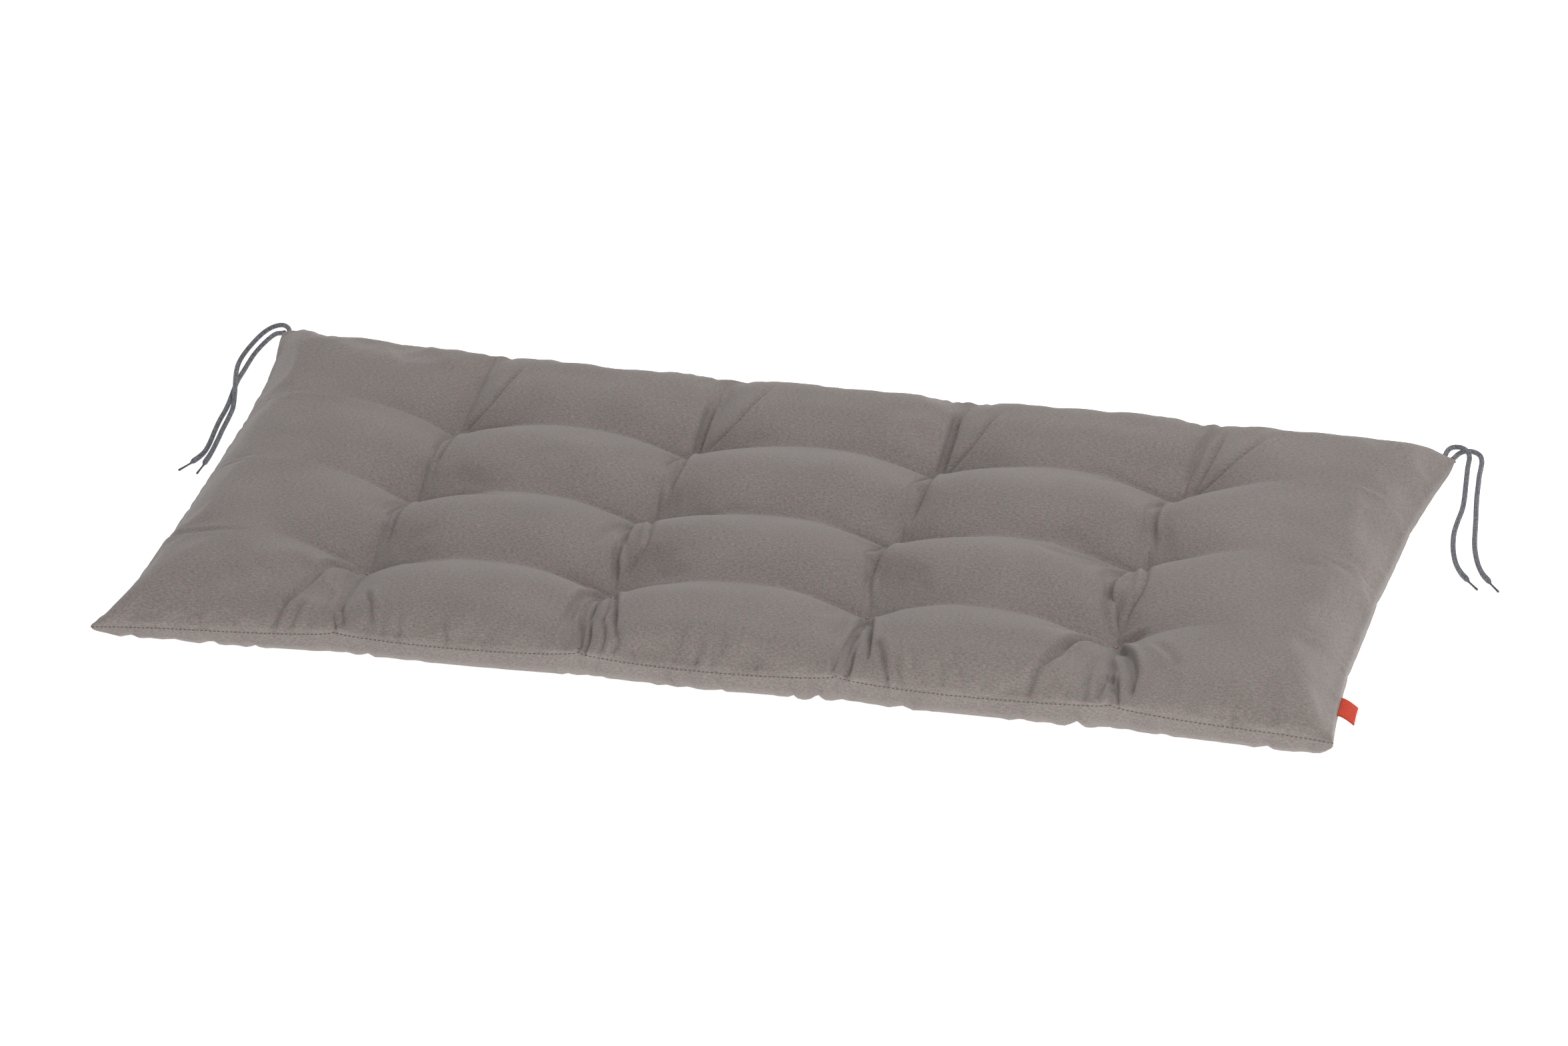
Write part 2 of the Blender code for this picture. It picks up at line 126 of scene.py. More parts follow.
class NodeBench:
    """Adds nodes to a tree, wiring up whatever inputs are given as other nodes' outputs."""

    def __init__(self, tree):
        self.tree = tree

    def add(self, kind, inputs=None, output=0, **settings):
        node = self.tree.nodes.new(kind)
        for name, value in settings.items():
            setattr(node, name, value)
        for key, value in (inputs or {}).items():
            self.feed(node.inputs[key], value)
        return node.outputs[output]

    def feed(self, socket, value):
        if isinstance(value, bpy.types.NodeSocket):
            self.tree.links.new(value, socket)
        else:
            socket.default_value = value

    def math(self, operation, *values):
        return self.add("ShaderNodeMath", dict(enumerate(values)), operation=operation)

    def times(self, *values):
        return self.math("MULTIPLY", *values)

    def scaled(self, vector, factor):
        return self.add("ShaderNodeVectorMath", {0: vector, 3: factor}, operation="SCALE")

    def eased(self, value, start, end, low=0.0, high=1.0):
        sizes = dict(enumerate((value, start, end, low, high)))
        return self.add("ShaderNodeMapRange", sizes, interpolation_type="SMOOTHSTEP")

    def mixed(self, share, *colours, **settings):
        """A colour between two, each of them another node's or red, green and blue."""
        inputs = {0: share}
        for key, colour in enumerate(colours, FIRST_COLOUR):
            inputs[key] = (*colour, 1) if isinstance(colour, tuple) else colour
        return self.add("ShaderNodeMix", inputs, output=2, data_type="RGBA", **settings)

    def noise(self, place, scale=1.0, detail=2.0):
        return self.add("ShaderNodeTexNoise", {"Vector": place, "Scale": scale, "Detail": detail})

    def place(self):
        return self.add("ShaderNodeTexCoord", output=3)

    def split(self, vector):
        return self.add("ShaderNodeSeparateXYZ", {0: vector}).node.outputs

    def surface(self, shader, colour, height, strength, depth):
        """The shader's colour and its fine relief."""
        self.feed(shader["Base Color"], colour)
        relief = {"Strength": strength, "Distance": depth, "Height": height}
        self.feed(shader["Normal"], self.add("ShaderNodeBump", relief))

    def kept(self, geometry, kind, field):
        """The geometry and a field that stays as it was on each of its points."""
        node = self.tree.nodes.new("GeometryNodeCaptureAttribute")
        node.capture_items.new(kind, "kept")
        self.feed(node.inputs[0], geometry)
        self.feed(node.inputs[1], field)
        return node.outputs[0], node.outputs[1]


def growing_tree(name, sizes):
    """A Geometry Nodes tree with a named input for each size, and those inputs by name."""
    tree = bpy.data.node_groups.new(name, "GeometryNodeTree")
    tree.interface.new_socket("Geometry", in_out="INPUT", socket_type="NodeSocketGeometry")
    tree.interface.new_socket("Geometry", in_out="OUTPUT", socket_type="NodeSocketGeometry")
    for label, value in sizes.items():
        kind = "NodeSocketInt" if isinstance(value, int) else "NodeSocketFloat"
        tree.interface.new_socket(label, in_out="INPUT", socket_type=kind)
    given = tree.nodes.new("NodeGroupInput")
    return tree, {socket.name: socket for socket in given.outputs if socket.name}


def end_tree(bench, geometry, material):
    """Every tree ends alike: real faces, smooth, with their material."""
    solid = bench.add("GeometryNodeRealizeInstances", {0: geometry})
    smooth = bench.add("GeometryNodeSetShadeSmooth", {0: solid})
    painted = bench.add("GeometryNodeSetMaterial", {0: smooth, 2: material})
    bench.feed(bench.tree.nodes.new("NodeGroupOutput").inputs[0], painted)


def add_piece(name, mesh, material=None):
    piece = bpy.data.objects.new(name, mesh)
    if material:
        mesh.materials.append(material)
    studio.collection.objects.link(piece)
    return piece


def new_mesh(name, points, faces):
    mesh = bpy.data.meshes.new(name)
    mesh.from_pydata(points, [], faces)
    mesh.shade_smooth()
    return mesh


def grid_faces(rows, columns, closed=False):
    """Four-sided faces between rows of points, which may close up into rings."""
    number = np.arange(rows * columns).reshape(rows, columns)
    if closed:
        number = np.hstack([number, number[:, :1]])
    corners = (number[:-1, :-1], number[1:, :-1], number[1:, 1:], number[:-1, 1:])
    return np.stack(corners, -1).reshape(-1, 4)


def grown_piece(name, source, tree, sizes):
    """A plain mesh piece of what a tree makes of a curve or a mesh."""
    seed = add_piece(name + "_seed", source)
    modifier = seed.modifiers.new(tree.name, "NODES")
    modifier.node_group = tree
    for item in tree.interface.items_tree:
        if item.in_out == "INPUT" and item.name in sizes:
            modifier[item.identifier] = sizes[item.name]
    shown = seed.evaluated_get(bpy.context.evaluated_depsgraph_get())
    mesh = bpy.data.meshes.new_from_object(shown)
    mesh.name = name
    seed.modifiers.remove(modifier)
    bpy.data.objects.remove(seed)
    return add_piece(name, mesh)


def line_curve(name, points, closed=False):
    curve = bpy.data.curves.new(name, "CURVE")
    curve.dimensions = "3D"
    spline = curve.splines.new("POLY")
    spline.points.add(len(points) - 1)
    for point, place in zip(spline.points, points):
        point.co = (*place, 1)
    spline.use_cyclic_u = closed
    return curve


def new_material(name, sockets):
    """A material, a bench for its tree and its shader's inputs, with some of them set."""
    material = bpy.data.materials.new(name)
    material.use_nodes = True
    shader = material.node_tree.nodes["Principled BSDF"].inputs
    for label, value in sockets.items():
        shader[label].default_value = value
    return material, NodeBench(material.node_tree), shader


def rough_route(points):
    """Close points on a Catmull-Rom curve through the route's own points."""
    ends = [points[0] * 2 - points[1]] + points + [points[-1] * 2 - points[-2]]
    fine = []
    for before, start, end, after in zip(ends, ends[1:], ends[2:], ends[3:]):
        for k in range(ROUTE_FINENESS):
            t = k / ROUTE_FINENESS
            bend = (2 * before - 5 * start + 4 * end - after) * t**2
            twist = (3 * start - before - 3 * end + after) * t**3
            fine.append(0.5 * (2 * start + (end - before) * t + bend + twist))
    return fine + [points[-1]]


def line_length(points):
    return sum((b - a).length for a, b in zip(points, points[1:]))


def spaced(points, step):
    """Points of the same line, about a step apart."""
    places = np.array(points)
    runs = np.concatenate([[0], np.cumsum(np.linalg.norm(np.diff(places, axis=0), axis=1))])
    wanted = np.linspace(0, runs[-1], round(runs[-1] / step) + 1)
    return [Vector(place) for place in np.stack([np.interp(wanted, runs, k) for k in places.T], -1)]


LACE_FINISH = {"Roughness": 0.88, "Sheen Weight": 0.25}
LACE_COLOURS = ((0.046, 0.048, 0.061), (0.250, 0.254, 0.282))
LACE_FLECKS = 520  # to a metre along a yarn
LACE_HAIRS = 1900  # to a metre
LACE_HAIR_SHARE = 0.55
LACE_FLECK_SHARE = 0.75
LACE_TONES = (0.50, 0.82)  # the mix at which a yarn is dark and light
LACE_FUZZ = (0.5, 0.00012)  # strength and depth of its relief, as in the reliefs further on
TIP_COLOURS = ((0.030, 0.030, 0.036), (0.085, 0.085, 0.095))
TIP_MARKS = 900
TIP_DETAIL = 3
TIP_GLOSS = (0.3, 0.7, 0.32, 0.55)  # from the noise to the roughness
TIP_DENTS = (0.3, 0.0001)


def heather_lace():
    """Blue grey yarn spun from light and dark fibres, which show as short flecks along it."""
    material, bench, shader = new_material("braided_lace", LACE_FINISH)
    run, yarn = (
        bench.add("ShaderNodeAttribute", output=2, attribute_name=name) for name in ("run", "yarn")
    )
    along = bench.add("ShaderNodeCombineXYZ", {0: bench.times(run, LACE_FLECKS), 1: yarn})
    hair = bench.noise(bench.place(), LACE_HAIRS)
    fleck = bench.times(bench.noise(along), LACE_FLECK_SHARE)
    spun = bench.math("MULTIPLY_ADD", hair, LACE_HAIR_SHARE, fleck)
    colour = bench.mixed(bench.eased(spun, *LACE_TONES), *LACE_COLOURS)
    bench.surface(shader, colour, hair, *LACE_FUZZ)
    return material


def dark_plastic():
    """Heat-shrunk plastic tip, a little uneven and dull where it has been handled."""
    material, bench, shader = new_material("dark_plastic", {})
    wear = bench.noise(bench.place(), TIP_MARKS, TIP_DETAIL)
    bench.feed(shader["Roughness"], bench.eased(wear, *TIP_GLOSS))
    bench.surface(shader, bench.mixed(wear, *TIP_COLOURS), wear, *TIP_DENTS)
    return material


def braid_tree(material):
    """Yarns laid round a route in both directions, each over one and under the next."""
    tree, size = growing_tree("braided lace", BRAID)
    bench = NodeBench(tree)
    evenly = {0: size["Geometry"], "Length": size["Step"]}
    route = bench.add("GeometryNodeResampleCurve", evenly, mode="LENGTH")
    route, run = bench.kept(route, "FLOAT", bench.add("GeometryNodeSplineParameter", output=1))
    route, across = bench.kept(route, "VECTOR", bench.add("GeometryNodeInputNormal"))
    route, onward = bench.kept(route, "VECTOR", bench.add("GeometryNodeInputTangent"))
    left = bench.math("SUBTRACT", bench.add("GeometryNodeSplineLength"), run)
    route, left = bench.kept(route, "FLOAT", left)
    narrow = bench.eased(left, 0.0, size["Taper"], size["Tip Share"], 1.0)
    rise = bench.eased(left, 0.0, size["Swell Rise"])
    fall = bench.eased(left, size["Swell Rise"], size["Swell Fall"], 1.0, 0.0)
    swell = bench.times(size["Swell"], bench.times(rise, fall))
    girth = bench.times(narrow, bench.math("ADD", 1.0, swell))

    doubled = bench.tree.nodes.new("GeometryNodeDuplicateElements")
    doubled.domain = "SPLINE"
    bench.feed(doubled.inputs["Geometry"], route)
    bench.feed(doubled.inputs["Amount"], bench.times(size["Yarns Each Way"], 2.0))
    yarns, number = doubled.outputs
    yarns, number = bench.kept(yarns, "FLOAT", number)
    way = bench.math("MULTIPLY_ADD", bench.math("MODULO", number, 2.0), 2.0, -1.0)
    turns = bench.math("DIVIDE", run, size["Pitch"])
    pair = bench.math("FLOOR", bench.math("DIVIDE", number, 2.0))
    start = bench.math("DIVIDE", pair, size["Yarns Each Way"])
    angle = bench.times(math.tau, bench.math("MULTIPLY_ADD", way, turns, start))
    crossings = bench.times(turns, size["Yarns Each Way"])
    wave = bench.math("COSINE", bench.times(crossings, math.tau))
    over = bench.times(bench.times(way, wave), size["Relief"])
    radius = bench.times(bench.math("ADD", size["Yarn Radius"], over), girth)
    side = bench.add("ShaderNodeVectorMath", {0: onward, 1: across}, operation="CROSS_PRODUCT")
    parts = {
        0: bench.scaled(across, bench.math("COSINE", angle)),
        1: bench.scaled(side, bench.math("SINE", angle)),
    }
    outward = bench.add("ShaderNodeVectorMath", parts, operation="ADD")
    yarns, outward = bench.kept(yarns, "VECTOR", outward)
    yarns = bench.add("GeometryNodeSetPosition", {0: yarns, "Offset": bench.scaled(outward, radius)})
    yarns = bench.add("GeometryNodeSetCurveNormal", {0: yarns, "Normal": outward}, mode="FREE")
    for label, field in (("run", run), ("yarn", number)):
        named = {0: yarns, "Name": label, "Value": field}
        yarns = bench.add("GeometryNodeStoreNamedAttribute", named, data_type="FLOAT", domain="POINT")
    ring = bench.add("GeometryNodeCurvePrimitiveCircle", {"Resolution": YARN_SIDES, "Radius": 0.5})
    oval = bench.add("ShaderNodeCombineXYZ", {0: size["Yarn Thickness"], 1: size["Yarn Width"], 2: 1.0})
    section = bench.add("GeometryNodeTransform", {0: ring, "Scale": oval})
    core = {"Resolution": CORE_SIDES, "Radius": size["Core Radius"]}
    core = bench.add("GeometryNodeCurvePrimitiveCircle", core)
    both = bench.tree.nodes.new("GeometryNodeJoinGeometry")
    for line, outline in ((route, core), (yarns, section)):
        swept = {0: line, 1: outline, "Scale": girth, "Fill Caps": True}
        bench.tree.links.new(bench.add("GeometryNodeCurveToMesh", swept), both.inputs[0])
    end_tree(bench, both.outputs[0], material)
    return tree


TURNED_SIDES = 20
TIP_PROFILE = [
    # share of the tip's length, share of its radius
    (0.00, 0.55),
    (0.02, 0.86),
    (0.30, 0.80),
    (0.70, 0.88),
    (0.90, 1.00),
    (0.96, 0.96),
    (0.99, 0.75),
    (1.00, 0.40),
]


def turned_mesh(name, start, end, radius, profile):
    """A closed turned solid along a line, from shares of its length and its radius."""
    axis = end - start
    side = axis.orthogonal().normalized()
    up = axis.normalized().cross(side)
    points = []
    for along, share in profile:
        for k in range(TURNED_SIDES):
            angle = math.tau * k / TURNED_SIDES
            round_it = side * math.cos(angle) + up * math.sin(angle)
            points.append(start + axis * along + round_it * radius * share)
    faces = grid_faces(len(profile), TURNED_SIDES, closed=True)[:, ::-1].tolist()
    faces.append(range(TURNED_SIDES)[::-1])
    faces.append(range(len(points) - TURNED_SIDES, len(points)))
    return new_mesh(name, points, faces)


def lace_point(x, y, z=LACE_LIE):
    return Vector((x, y, z)) * MM


tip_plastic = dark_plastic()
braid = braid_tree(heather_lace())
for corner_name, route in LACE_ROUTES.items():
    centre = rough_route([lace_point(*place) for place in route])
    path = spaced(centre, LACE_STEP)
    onward = (path[-1] - path[-2]).normalized()
    tip_start = path[-1] + onward * TOUCH_GAP
    tip_start.z = TIP_DIAMETER / 2 + TOUCH_GAP
    tip_end = tip_start + onward * TIP_LENGTH
    tip_end.z = TIP_DIAMETER / 2
    to_go = line_length(centre)
    lowered = []
    for place, ahead in zip(centre, centre[1:] + centre[-1:]):
        drop = max(1 - to_go / END_SLOPE, 0) ** 2
        lowered.append(Vector((place.x, place.y, place.z + (tip_start.z - place.z) * drop)))
        to_go -= (ahead - place).length
    tucked = lowered[0] - (lowered[1] - lowered[0]).normalized() * LACE_TUCK
    leg = line_curve(corner_name, [tucked] + lowered)
    lace = grown_piece("lace_" + corner_name, leg, braid, BRAID)
    tip_name = "lace_tip_" + corner_name
    tip_inner = tip_start - (tip_end - tip_start).normalized() * TIP_GRIP
    tip_mesh = turned_mesh(tip_name, tip_inner, tip_end, TIP_DIAMETER / 2, TIP_PROFILE)
    tip = add_piece(tip_name, tip_mesh, tip_plastic)
    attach(lace, "root")
    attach(tip, "root")
    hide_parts("tie_" + corner_name)
    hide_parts("tip_" + corner_name)


# Cover. Two panels of heather cloth sewn together at their rim and filled, then tied down at
# twelve tufts, so the face swells into pillows with soft folds running out of each tuft. The
# face is blown up as cloth, held at the seam and the tufts.
LENGTH = 1.10
WIDTH = 0.48
CROWN = 0.0215  # before it is blown up
DOME = 0.0055
DOME_POWER_ALONG = 4
DOME_POWER_ACROSS = 2
TOP_ROUND = 0.040
UNDER_ROUND = 0.026
SEAMS = {
    # side: (first corner, second corner), then near each of the two, the seam's height over the
    # floor and how far it is drawn in, then the power of the draw
    "front": (("front_left", "front_right"), (0.027, 0.031), (0.008, 0.014), 4),
    "back": (("back_left", "back_right"), (0.029, 0.022), (0.009, 0.013), 3),
    "left": (("front_left", "back_left"), (0.025, 0.028), (0.015, 0.006), 5),
    "right": (("front_right", "back_right"), (0.027, 0.027), (0.018, 0.013), 3),
}
INWARD = {"front": (0, 1, 0), "back": (0, -1, 0), "left": (1, 0, 0), "right": (-1, 0, 0)}
NOTCH_DEPTH = 0.005  # how far the seam is drawn in at each line of tufts, and up
NOTCH_LIFT = 0.005
NOTCH_POWER = 0.5
END_NOTCH = 0.3  # the same on the two short sides, as a share
CORNERS = {
    # name: (side_x, side_y, out_x, out_y, height)
    "front_left": (-1, -1, 0.004, -0.004, 0.016),
    "front_right": (1, -1, -0.001, -0.006, 0.024),
    "back_left": (-1, 1, 0.006, 0.010, 0.031),
    "back_right": (1, 1, 0.001, -0.006, 0.013),
}
COLUMN_PITCH = 0.2235
ROW_PITCH = 0.1145
TUFT_X = (np.arange(4) - 1.5) * COLUMN_PITCH
TUFT_Y = (np.arange(3) - 1.0) * ROW_PITCH
TUFT_HEIGHT = 0.0205
TUFT_DRIFT = np.array(
    # front row,     middle row,     back row, for each column from the left, in millimetres
    [
        ((-2.8, -4.1), (-0.1, -4.0), (-0.9, -0.8)),
        ((-1.4, -3.8), (-1.6, -7.4), (0.0, -5.3)),
        ((2.5, 2.2), (-1.3, -7.0), (1.2, -1.6)),
        ((0.3, -5.5), (-4.0, -5.6), (-0.7, -3.8)),
    ]
)
# how far each column's groove bends to the left between its tufts, the front pair first, in millimetres
COLUMN_BOW = [(5, 4), (14, 10), (16, 9), (20, 13)]
BOW_SKEW = 1.8  # brings the most of the bend nearer the tuft behind
BOW_REACH = 0.6 * COLUMN_PITCH
FRONT_LEAN = (9, 5, 10, 25)  # how far each column's groove leans to the right at the front seam
ROW_GROOVE_MIDDLE = 0.42  # depth halfway between two tufts, as a share of a tuft's
COLUMN_GROOVE_MIDDLE = 0.52
ROW_RUN_OUT = 0.110
ROW_GROOVE_END = 0.03  # depth where it has run out towards the seam, as the same share
COLUMN_RUN_OUT = WIDTH / 2 - ROW_PITCH
COLUMN_GROOVE_END = 0.22
GROOVE_FADE = 0.6  # powers of how a groove softens, outside the tufts and between them
GROOVE_RISE = 0.9
FULL_SECTION = 0.60  # powers of a groove's section, at a tuft and far from one
SOFT_SECTION = 1.25
ROW_GROOVE_REACH = ROW_PITCH / 2
COLUMN_GROOVE_REACH = 0.36 * COLUMN_PITCH
UNDER_TUFT = 0.009  # how far a tuft holds the underside up
UNDER_TUFT_REACH = 0.052
UNDER_TUFT_POWER = 1.5
END_TUCK = 0.012  # how far the filling pushes the seam down, halfway along the two short sides
END_TUCK_REACH = 0.035
END_TUCK_POWER = 4
BLOWN_FACES = (36, 20)  # faces of the blown cloth along and across one pillow
COVER_FACES = (92, 40)  # and of the finished face, even numbers
CROWDING_AT_SEAM = (3.0, 0.006)  # how much closer together the faces are, and over what reach
CROWDING_AT_TUFTS = (1.0, 0.035)
CROWDING_STEPS = 400
SETTLE_ROUNDS = 3  # guesses at the shares that lie on the lines of tufts
SETTLE_REACH = 0.100  # how far in from the seam the grid has settled on them

CLOTH_SETTINGS = {
    "mass": 0.3, "tension_stiffness": 150, "compression_stiffness": 150, "shear_stiffness": 30,
    "bending_stiffness": 0.3, "tension_damping": 15, "compression_damping": 15,
    "shear_damping": 15, "bending_damping": 1.0, "air_damping": 3,
    "vertex_group_mass": "held", "pin_stiffness": 50,
    "use_pressure": True, "uniform_pressure_force": 0.8,
    "shrink_min": -0.025,  # the cloth is cut this much larger than the shape that it covers
}
CLOTH_FRAMES = 20
CLOTH_MOST = 0.004  # how far a point of it may be blown
TINY = 1e-12


def blend(a, b, t):
    return a * (1 - t) + b * t


def grid_lines(tufts, size):
    """The seam, each line of tufts and the other seam, as shares of the whole size."""
    return np.concatenate([[0], 0.5 + tufts / size, [1]])


LINES_ALONG = grid_lines(TUFT_X, LENGTH)
LINES_ACROSS = grid_lines(TUFT_Y, WIDTH)


def crowded(lines, size, faces):
    """Shares across a panel, a number of faces to each pillow, closer together at its lines."""
    shares = [lines[:1]]
    for number, (start, end) in enumerate(zip(lines, lines[1:])):
        place = np.linspace(start, end, CROWDING_STEPS)
        density = np.ones(CROWDING_STEPS)
        for line, outer in ((start, number == 0), (end, number == len(lines) - 2)):
            weight, reach = CROWDING_AT_SEAM if outer else CROWDING_AT_TUFTS
            density += weight * np.exp(-(((place - line) * size / reach) ** 2))
        count = np.concatenate([[0], np.cumsum((density[1:] + density[:-1]) / 2)])
        shares.append(np.interp(np.linspace(0, count[-1], faces + 1)[1:], count, place))
    return np.concatenate(shares)


def panel_shares(faces):
    return crowded(LINES_ALONG, LENGTH, faces[0]), crowded(LINES_ACROSS, WIDTH, faces[1])


def corner(name, drawn=True):
    side_x, side_y, out_x, out_y, _ = CORNERS[name]
    return np.array((side_x * (LENGTH / 2 + out_x * drawn), side_y * (WIDTH / 2 + out_y * drawn), 0))


def sewn_corner(name):
    return corner(name) + (0, 0, CORNERS[name][-1])


def plain_corner(name, height):
    return corner(name, drawn=False) + (0, 0, height)


def arch_between(share, lines):
    """0 on each line of tufts and at the corners, 1 halfway between two lines."""
    low = np.clip(np.searchsorted(lines, share, side="right") - 1, 0, len(lines) - 2)
    t = (share - lines[low]) / (lines[low + 1] - lines[low])
    return np.abs(np.sin(math.pi * np.clip(t, 0, 1)))


def seam(side, shares):
    """Points of the seam on one side, pulled in between its corners and at the tuft lines."""
    (first, second), heights, draws, power = SEAMS[side]
    lines, notched = (LINES_ALONG, 1) if side in ("front", "back") else (LINES_ACROSS, END_NOTCH)
    share = np.asarray(shares)[..., None]
    between = 1 - np.abs(2 * share - 1) ** power
    notch = notched * (1 - arch_between(share, lines) ** NOTCH_POWER)
    place = blend(plain_corner(first, heights[0]), plain_corner(second, heights[1]), share)
    place = place + np.array(INWARD[side]) * (blend(*draws, share) + NOTCH_DEPTH * notch)
    place = place + np.array((0, 0, 1)) * NOTCH_LIFT * notch
    return blend(blend(sewn_corner(first), sewn_corner(second), share), place, between)


def seam_surface(along, across):
    """The surface stretched inside the four seams, as a Coons patch."""
    x, y = along[..., None], across[..., None]
    front_to_back = blend(seam("front", along), seam("back", along), y)
    left_to_right = blend(seam("left", across), seam("right", across), x)
    front = blend(sewn_corner("front_left"), sewn_corner("front_right"), x)
    rear = blend(sewn_corner("back_left"), sewn_corner("back_right"), x)
    return front_to_back + left_to_right - blend(front, rear, y)


def hat(distance, reach):
    """1 at no distance, falling smoothly to 0 at the reach."""
    return 0.5 + 0.5 * np.cos(math.pi * np.minimum(np.abs(distance) / reach, 1))


def settled(along, across):
    """Moves the shares so that, inside the drawn-in seams, they lie on the lines of tufts again."""
    new_along, new_across = along, across
    for _ in range(SETTLE_ROUNDS):
        flat = seam_surface(new_along, new_across)
        new_along = np.clip(new_along + along - 0.5 - flat[..., 0] / LENGTH, 0, 1)
        new_across = np.clip(new_across + across - 0.5 - flat[..., 1] / WIDTH, 0, 1)
    from_side = np.minimum(along, 1 - along) * LENGTH
    from_front = np.minimum(across, 1 - across) * WIDTH
    weight = 1 - hat(np.minimum(from_side, from_front), SETTLE_REACH)
    return blend(along, new_along, weight), blend(across, new_across, weight)


def panel_grid(along, across):
    """The shares of every point of a panel, from those of its lines."""
    return settled(*np.meshgrid(along, across, indexing="ij"))


def drift(x, y):
    """How far the sewn tufts and the bent grooves pull a point of the panel along X and Y."""
    pull = np.zeros(x.shape + (3,))
    for column, tuft_x in enumerate(TUFT_X):
        for row, tuft_y in enumerate(TUFT_Y):
            near = hat(x - tuft_x, COLUMN_PITCH) * hat(y - tuft_y, ROW_PITCH)
            pull[..., :2] += near[..., None] * TUFT_DRIFT[column, row] * MM
        for row, bow in enumerate(COLUMN_BOW[column]):
            between = np.clip((y - TUFT_Y[row]) / ROW_PITCH, 0, 1)
            bend = np.sin(math.pi * between**BOW_SKEW) * hat(x - tuft_x, BOW_REACH)
            pull[..., 0] -= bow * bend * MM
        ahead = np.clip((TUFT_Y[0] - y) / COLUMN_RUN_OUT, 0, 1)
        pull[..., 0] += FRONT_LEAN[column] * ahead * hat(x - tuft_x, BOW_REACH) * MM
    return pull


def along_groove(distance, outside, pitch, middle, run_out, end):
    """A groove's depth as a share of a tuft's, and how soft it is, at a distance from a tuft."""
    outer = np.minimum(distance / run_out, 1) ** GROOVE_FADE
    inner = np.sin(math.pi * np.minimum(distance / pitch, 0.5)) ** GROOVE_RISE
    soft = np.where(outside, outer, inner)
    return blend(1, np.where(outside, end, middle), soft), soft


def across_groove(distance, reach, soft):
    """A groove's section: 1 at its bottom, 0 at the crest of the pillow beside it."""
    t = np.minimum(distance / reach, 1)
    return 1 - (t * (2 - t)) ** blend(FULL_SECTION, SOFT_SECTION, soft)


def tuft_depth(x, y):
    """1 at a tuft, 0 at the crest of a pillow, and in between along the grooves."""
    dx = np.abs(x[..., None] - TUFT_X).min(-1)
    dy = np.abs(y[..., None] - TUFT_Y).min(-1)
    outside_x = np.abs(x) > TUFT_X[-1]
    outside_y = np.abs(y) > TUFT_Y[-1]
    rows, soft = along_groove(dx, outside_x, COLUMN_PITCH, ROW_GROOVE_MIDDLE, ROW_RUN_OUT, ROW_GROOVE_END)
    rows = rows * across_groove(dy, ROW_GROOVE_REACH, soft)
    columns, soft = along_groove(
        dy, outside_y, ROW_PITCH, COLUMN_GROOVE_MIDDLE, COLUMN_RUN_OUT, COLUMN_GROOVE_END
    )
    columns = columns * across_groove(dx, COLUMN_GROOVE_REACH, soft)
    return 1 - (1 - rows) * (1 - columns)


def quarter_round(distance, radius):
    t = np.minimum(distance / radius, 1)
    return np.sqrt(np.maximum(1 - (1 - t) ** 2, 0))


def filled(along, across, radius):
    """How full the cushion is near its rim: 0 at the seam and 1 inside."""
    from_side = np.minimum(along, 1 - along) * LENGTH
    from_front = np.minimum(across, 1 - across) * WIDTH
    return quarter_round(from_side, radius) * quarter_round(from_front, radius)


def end_tuck(along, across):
    """How far the seam, and the cloth close to it, is pushed down at the two short sides."""
    near = 1 - np.minimum(np.minimum(along, 1 - along) * LENGTH / END_TUCK_REACH, 1)
    return END_TUCK * near**2 * (1 - np.abs(2 * across - 1) ** END_TUCK_POWER)


def face_points(along, across):
    """The pillowed face, before it is blown up as cloth."""
    flat = seam_surface(along, across)
    level = (1 - np.abs(2 * along - 1) ** DOME_POWER_ALONG) * (
        1 - np.abs(2 * across - 1) ** DOME_POWER_ACROSS
    )
    depth = tuft_depth(flat[..., 0], flat[..., 1])
    lift = blend(CROWN + DOME * level, TUFT_HEIGHT - flat[..., 2], depth)
    placed = flat + drift(flat[..., 0], flat[..., 1])
    placed[..., 2] += lift * filled(along, across, TOP_ROUND) - end_tuck(along, across)
    return placed


def under_points(along, across):
    """The underside, level on the floor but for where the tufts hold it up."""
    flat = seam_surface(along, across)
    full = filled(along, across, UNDER_ROUND)
    off_x = flat[..., 0, None, None] - TUFT_X[:, None]
    off_y = flat[..., 1, None, None] - TUFT_Y
    nearest = np.hypot(off_x, off_y).min((-1, -2))
    dimple = UNDER_TUFT * np.maximum(1 - nearest / UNDER_TUFT_REACH, 0) ** UNDER_TUFT_POWER
    placed = flat + drift(flat[..., 0], flat[..., 1])
    placed[..., 2] = blend(flat[..., 2] - end_tuck(along, across), dimple, full)
    return placed


